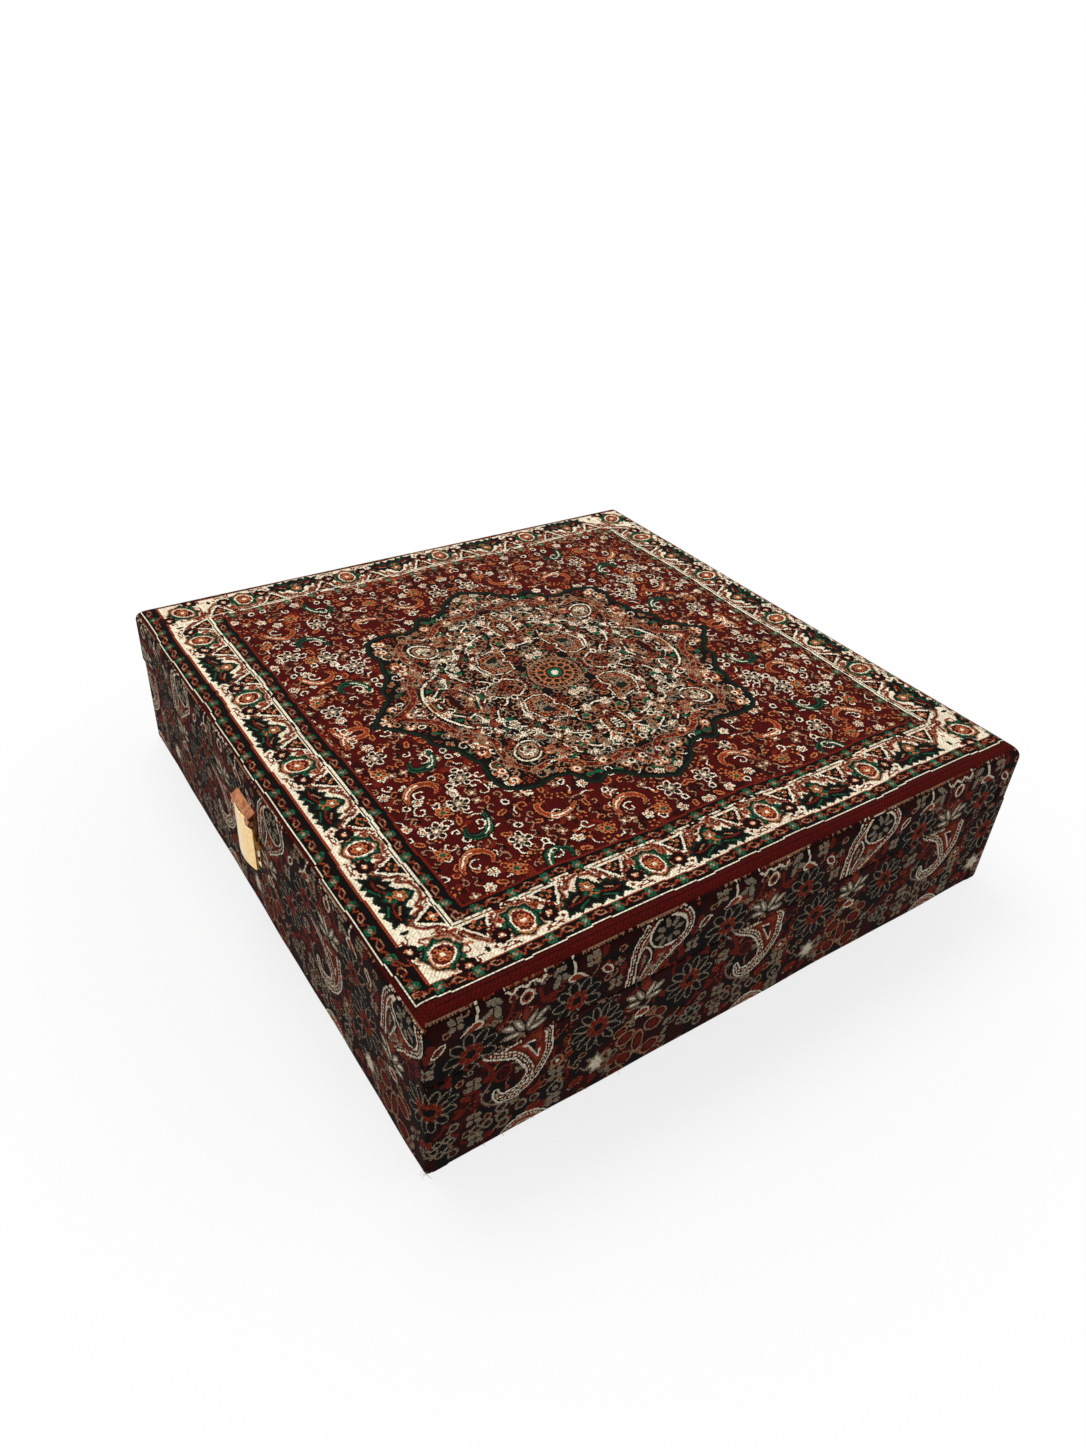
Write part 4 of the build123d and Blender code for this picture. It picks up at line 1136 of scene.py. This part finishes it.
lay(foot, felt, "base", ["underside_felt"])

pad = sheet_cover("lid_padding", (149.44, 148.44), LID_CENTRE, ((4.44, 76.0), (0, 73.7, 0)), (4.44, 76.0),
                  rough=0.3)
dress(pad, foam)
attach(pad, "lid")
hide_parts("lid_foam_pad")

for name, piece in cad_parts.items():
    if name.startswith("divider"):
        dress(piece, velvet)
    elif name.startswith(("hinge", "latch")) or name.endswith("screws"):
        dress(piece, copper if name == "latch_lid_plate" else gold)
    elif name.endswith(("wall", "panel")):
        dress(piece, board)


FIBRE = 0.09  # from the middle of a loose fibre to its side, at the root


def loose_threads(name, places, seed, finish, body):
    """Short frayed fibres at cut edges: thin three-sided tubes that curl outwards."""
    rng = np.random.default_rng(seed)
    points, quads, shades = [], [], []
    for x, y, z, ox, oy, length in places:
        along = np.array((-oy, ox, 0.0)) * rng.uniform(-0.9, 0.9)
        lean = np.array((ox, oy, 0.0)) * rng.uniform(0.25, 0.6) + along
        lean[2] += rng.uniform(-0.5, 0.2)
        bend = rng.normal(0, 0.35, 3)
        shade = PALETTE[rng.choice([CODE["cream"], CODE["brick"], CODE["tan"]])]
        stations = 6
        for k in range(stations):
            t = k / (stations - 1)
            middle = np.array((x, y, z)) + lean * length * t + bend * length * t * t
            middle[2] = max(middle[2], 0.25)
            for corner in range(3):
                angle = corner * 2.094
                around = np.array((math.cos(angle), math.sin(angle), math.sin(angle + 1)))
                points.append(middle + FIBRE * (1 - 0.6 * t) * around)
        base = len(points) - 3 * stations
        for k in range(stations - 1):
            for corner in range(3):
                a, b = base + 3 * k + corner, base + 3 * k + (corner + 1) % 3
                quads.append((a, b, b + 3, a + 3))
                shades.append(shade)
    piece = to_mesh(name, np.array(points), np.array(quads), np.array(shades), merge=False)
    dress(piece, finish)
    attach(piece, body)


thread_places = np.random.default_rng(3)
lid_frays = [(HALF_WIDTH, y, SEAM_HIGH + 0.2, 1, 0, thread_places.uniform(0.8, 2.2))
             for y in thread_places.uniform(-149, 147, 34)]
lid_frays += [(x, LID_CENTRE[1] - HALF_DEPTH, SEAM_HIGH + 0.2, 0, -1, thread_places.uniform(0.6, 1.6))
              for x in thread_places.uniform(-149, 149, 24) if abs(x) > 14]
base_frays = [(HALF_WIDTH - 0.4, y, 0.7, 1, 0, thread_places.uniform(0.8, 2.4))
              for y in thread_places.uniform(-150, -60, 14)]
base_frays += [(HALF_WIDTH - thread_places.uniform(0, 3), -149.6, thread_places.uniform(0.4, 2), 0.6, -0.8,
                thread_places.uniform(1.5, 3.4)) for n in range(7)]
loose_threads("lid_loose_threads", lid_frays, 8, carpet, "lid")
loose_threads("base_loose_threads", base_frays, 9, carpet, "base")


# Floor, light and camera

WHITE = (1.0, 1.0, 1.0, 1.0)
FLOOR_HALF = 6.0  # metres
scene = bpy.context.scene


def seen_rays(tree):
    """1 for what the camera sees, straight or in metal and glass."""
    rays = tree.nodes.new("ShaderNodeLightPath").outputs
    total = rays["Is Camera Ray"]
    for name in ("Is Glossy Ray", "Is Transmission Ray"):
        total = tree.add("Math", {0: total, 1: rays[name]}, operation="MAXIMUM")
    return total


# The camera sees a white floor that keeps the shadow near the box
pale = Finish("pale_floor", {"Roughness": 0.8})
pale.colour(pale.blend(pale.noise(90.0, 2.0), (0.0, (0.88, 0.88, 0.88, 1)), (1.0, (0.91, 0.91, 0.91, 1))))
reach = pale.add("VectorMath", {0: pale.place}, "Value", operation="LENGTH")
far = pale.add("MapRange", {"Value": reach, "From Min": 165.0, "From Max": 330.0, "To Min": 0.76,
                            "To Max": 1.0}, interpolation_type="SMOOTHSTEP")
share = pale.add("Math", {0: far, 1: seen_rays(pale)}, operation="MULTIPLY")
bright = pale.add("Emission", {"Color": WHITE})
both = pale.add("MixShader", {0: share, 1: pale.shader.outputs[0], 2: bright})
pale.feed(pale.nodes["Material Output"], {"Surface": both})

floor_mesh = bpy.data.meshes.new("floor")
corners = [(x * FLOOR_HALF, y * FLOOR_HALF, 0) for x, y in ((-1, -1), (1, -1), (1, 1), (-1, 1))]
floor_mesh.from_pydata(corners, [], [(0, 1, 2, 3)])
floor = bpy.data.objects.new("floor", floor_mesh)
scene.collection.objects.link(floor)
dress(floor, pale.material)

world = bpy.data.worlds.new("studio")
world.use_nodes = True
scene.world = world
sky = Nodes(world.node_tree)
plain = sky.nodes["Background"]
sky.feed(plain, {"Color": WHITE, "Strength": 0.40})
seen = sky.add("Background", {"Color": WHITE, "Strength": 1.0})
both = sky.add("MixShader", {0: seen_rays(sky), 1: plain.outputs[0], 2: seen})
sky.feed(sky.nodes["World Output"], {"Surface": both})


def lamp(name, place, aim_height, size, power):
    """Rectangular lamp that looks at a point over the middle of the floor."""
    light = bpy.data.lights.new(name, "AREA")
    light.shape, light.size, light.size_y = "RECTANGLE", size, size * 0.7
    light.energy = power
    piece = bpy.data.objects.new(name, light)
    piece.location = place
    piece.rotation_euler = (Vector((0, 0, aim_height)) - Vector(place)).to_track_quat("-Z", "Y").to_euler()
    scene.collection.objects.link(piece)


lamp("soft_key", (-0.6, -0.1, 1.45), 0.04, 0.9, 13.5)
lamp("soft_fill", (0.9, -1.2, 0.9), 0.04, 1.1, 2.8)
lamp("soft_back", (0.5, 1.2, 1.0), 0.05, 1.0, 4.0)

CAMERA_PLACE = (0.332718, -0.245205, 0.328938)
CAMERA_LOOK = (-0.66981, 0.48472, -0.5625)
CAMERA_UP = (-0.49472, 0.27360, 0.82486)
view = Vector(CAMERA_LOOK).normalized()
right = view.cross(Vector(CAMERA_UP)).normalized()
up = right.cross(view)
camera_data = bpy.data.cameras.new("photo_view")
camera_data.sensor_fit = "VERTICAL"
camera_data.sensor_height = 36.0
camera_data.sensor_width = 27.0
camera_data.lens = 25.6
camera_data.clip_start = 0.01
camera = bpy.data.objects.new("photo_view", camera_data)
camera.matrix_world = Matrix.Translation(CAMERA_PLACE) @ Matrix((right, up, -view)).transposed().to_4x4()
scene.collection.objects.link(camera)
scene.camera = camera

scene.view_settings.view_transform = "Standard"
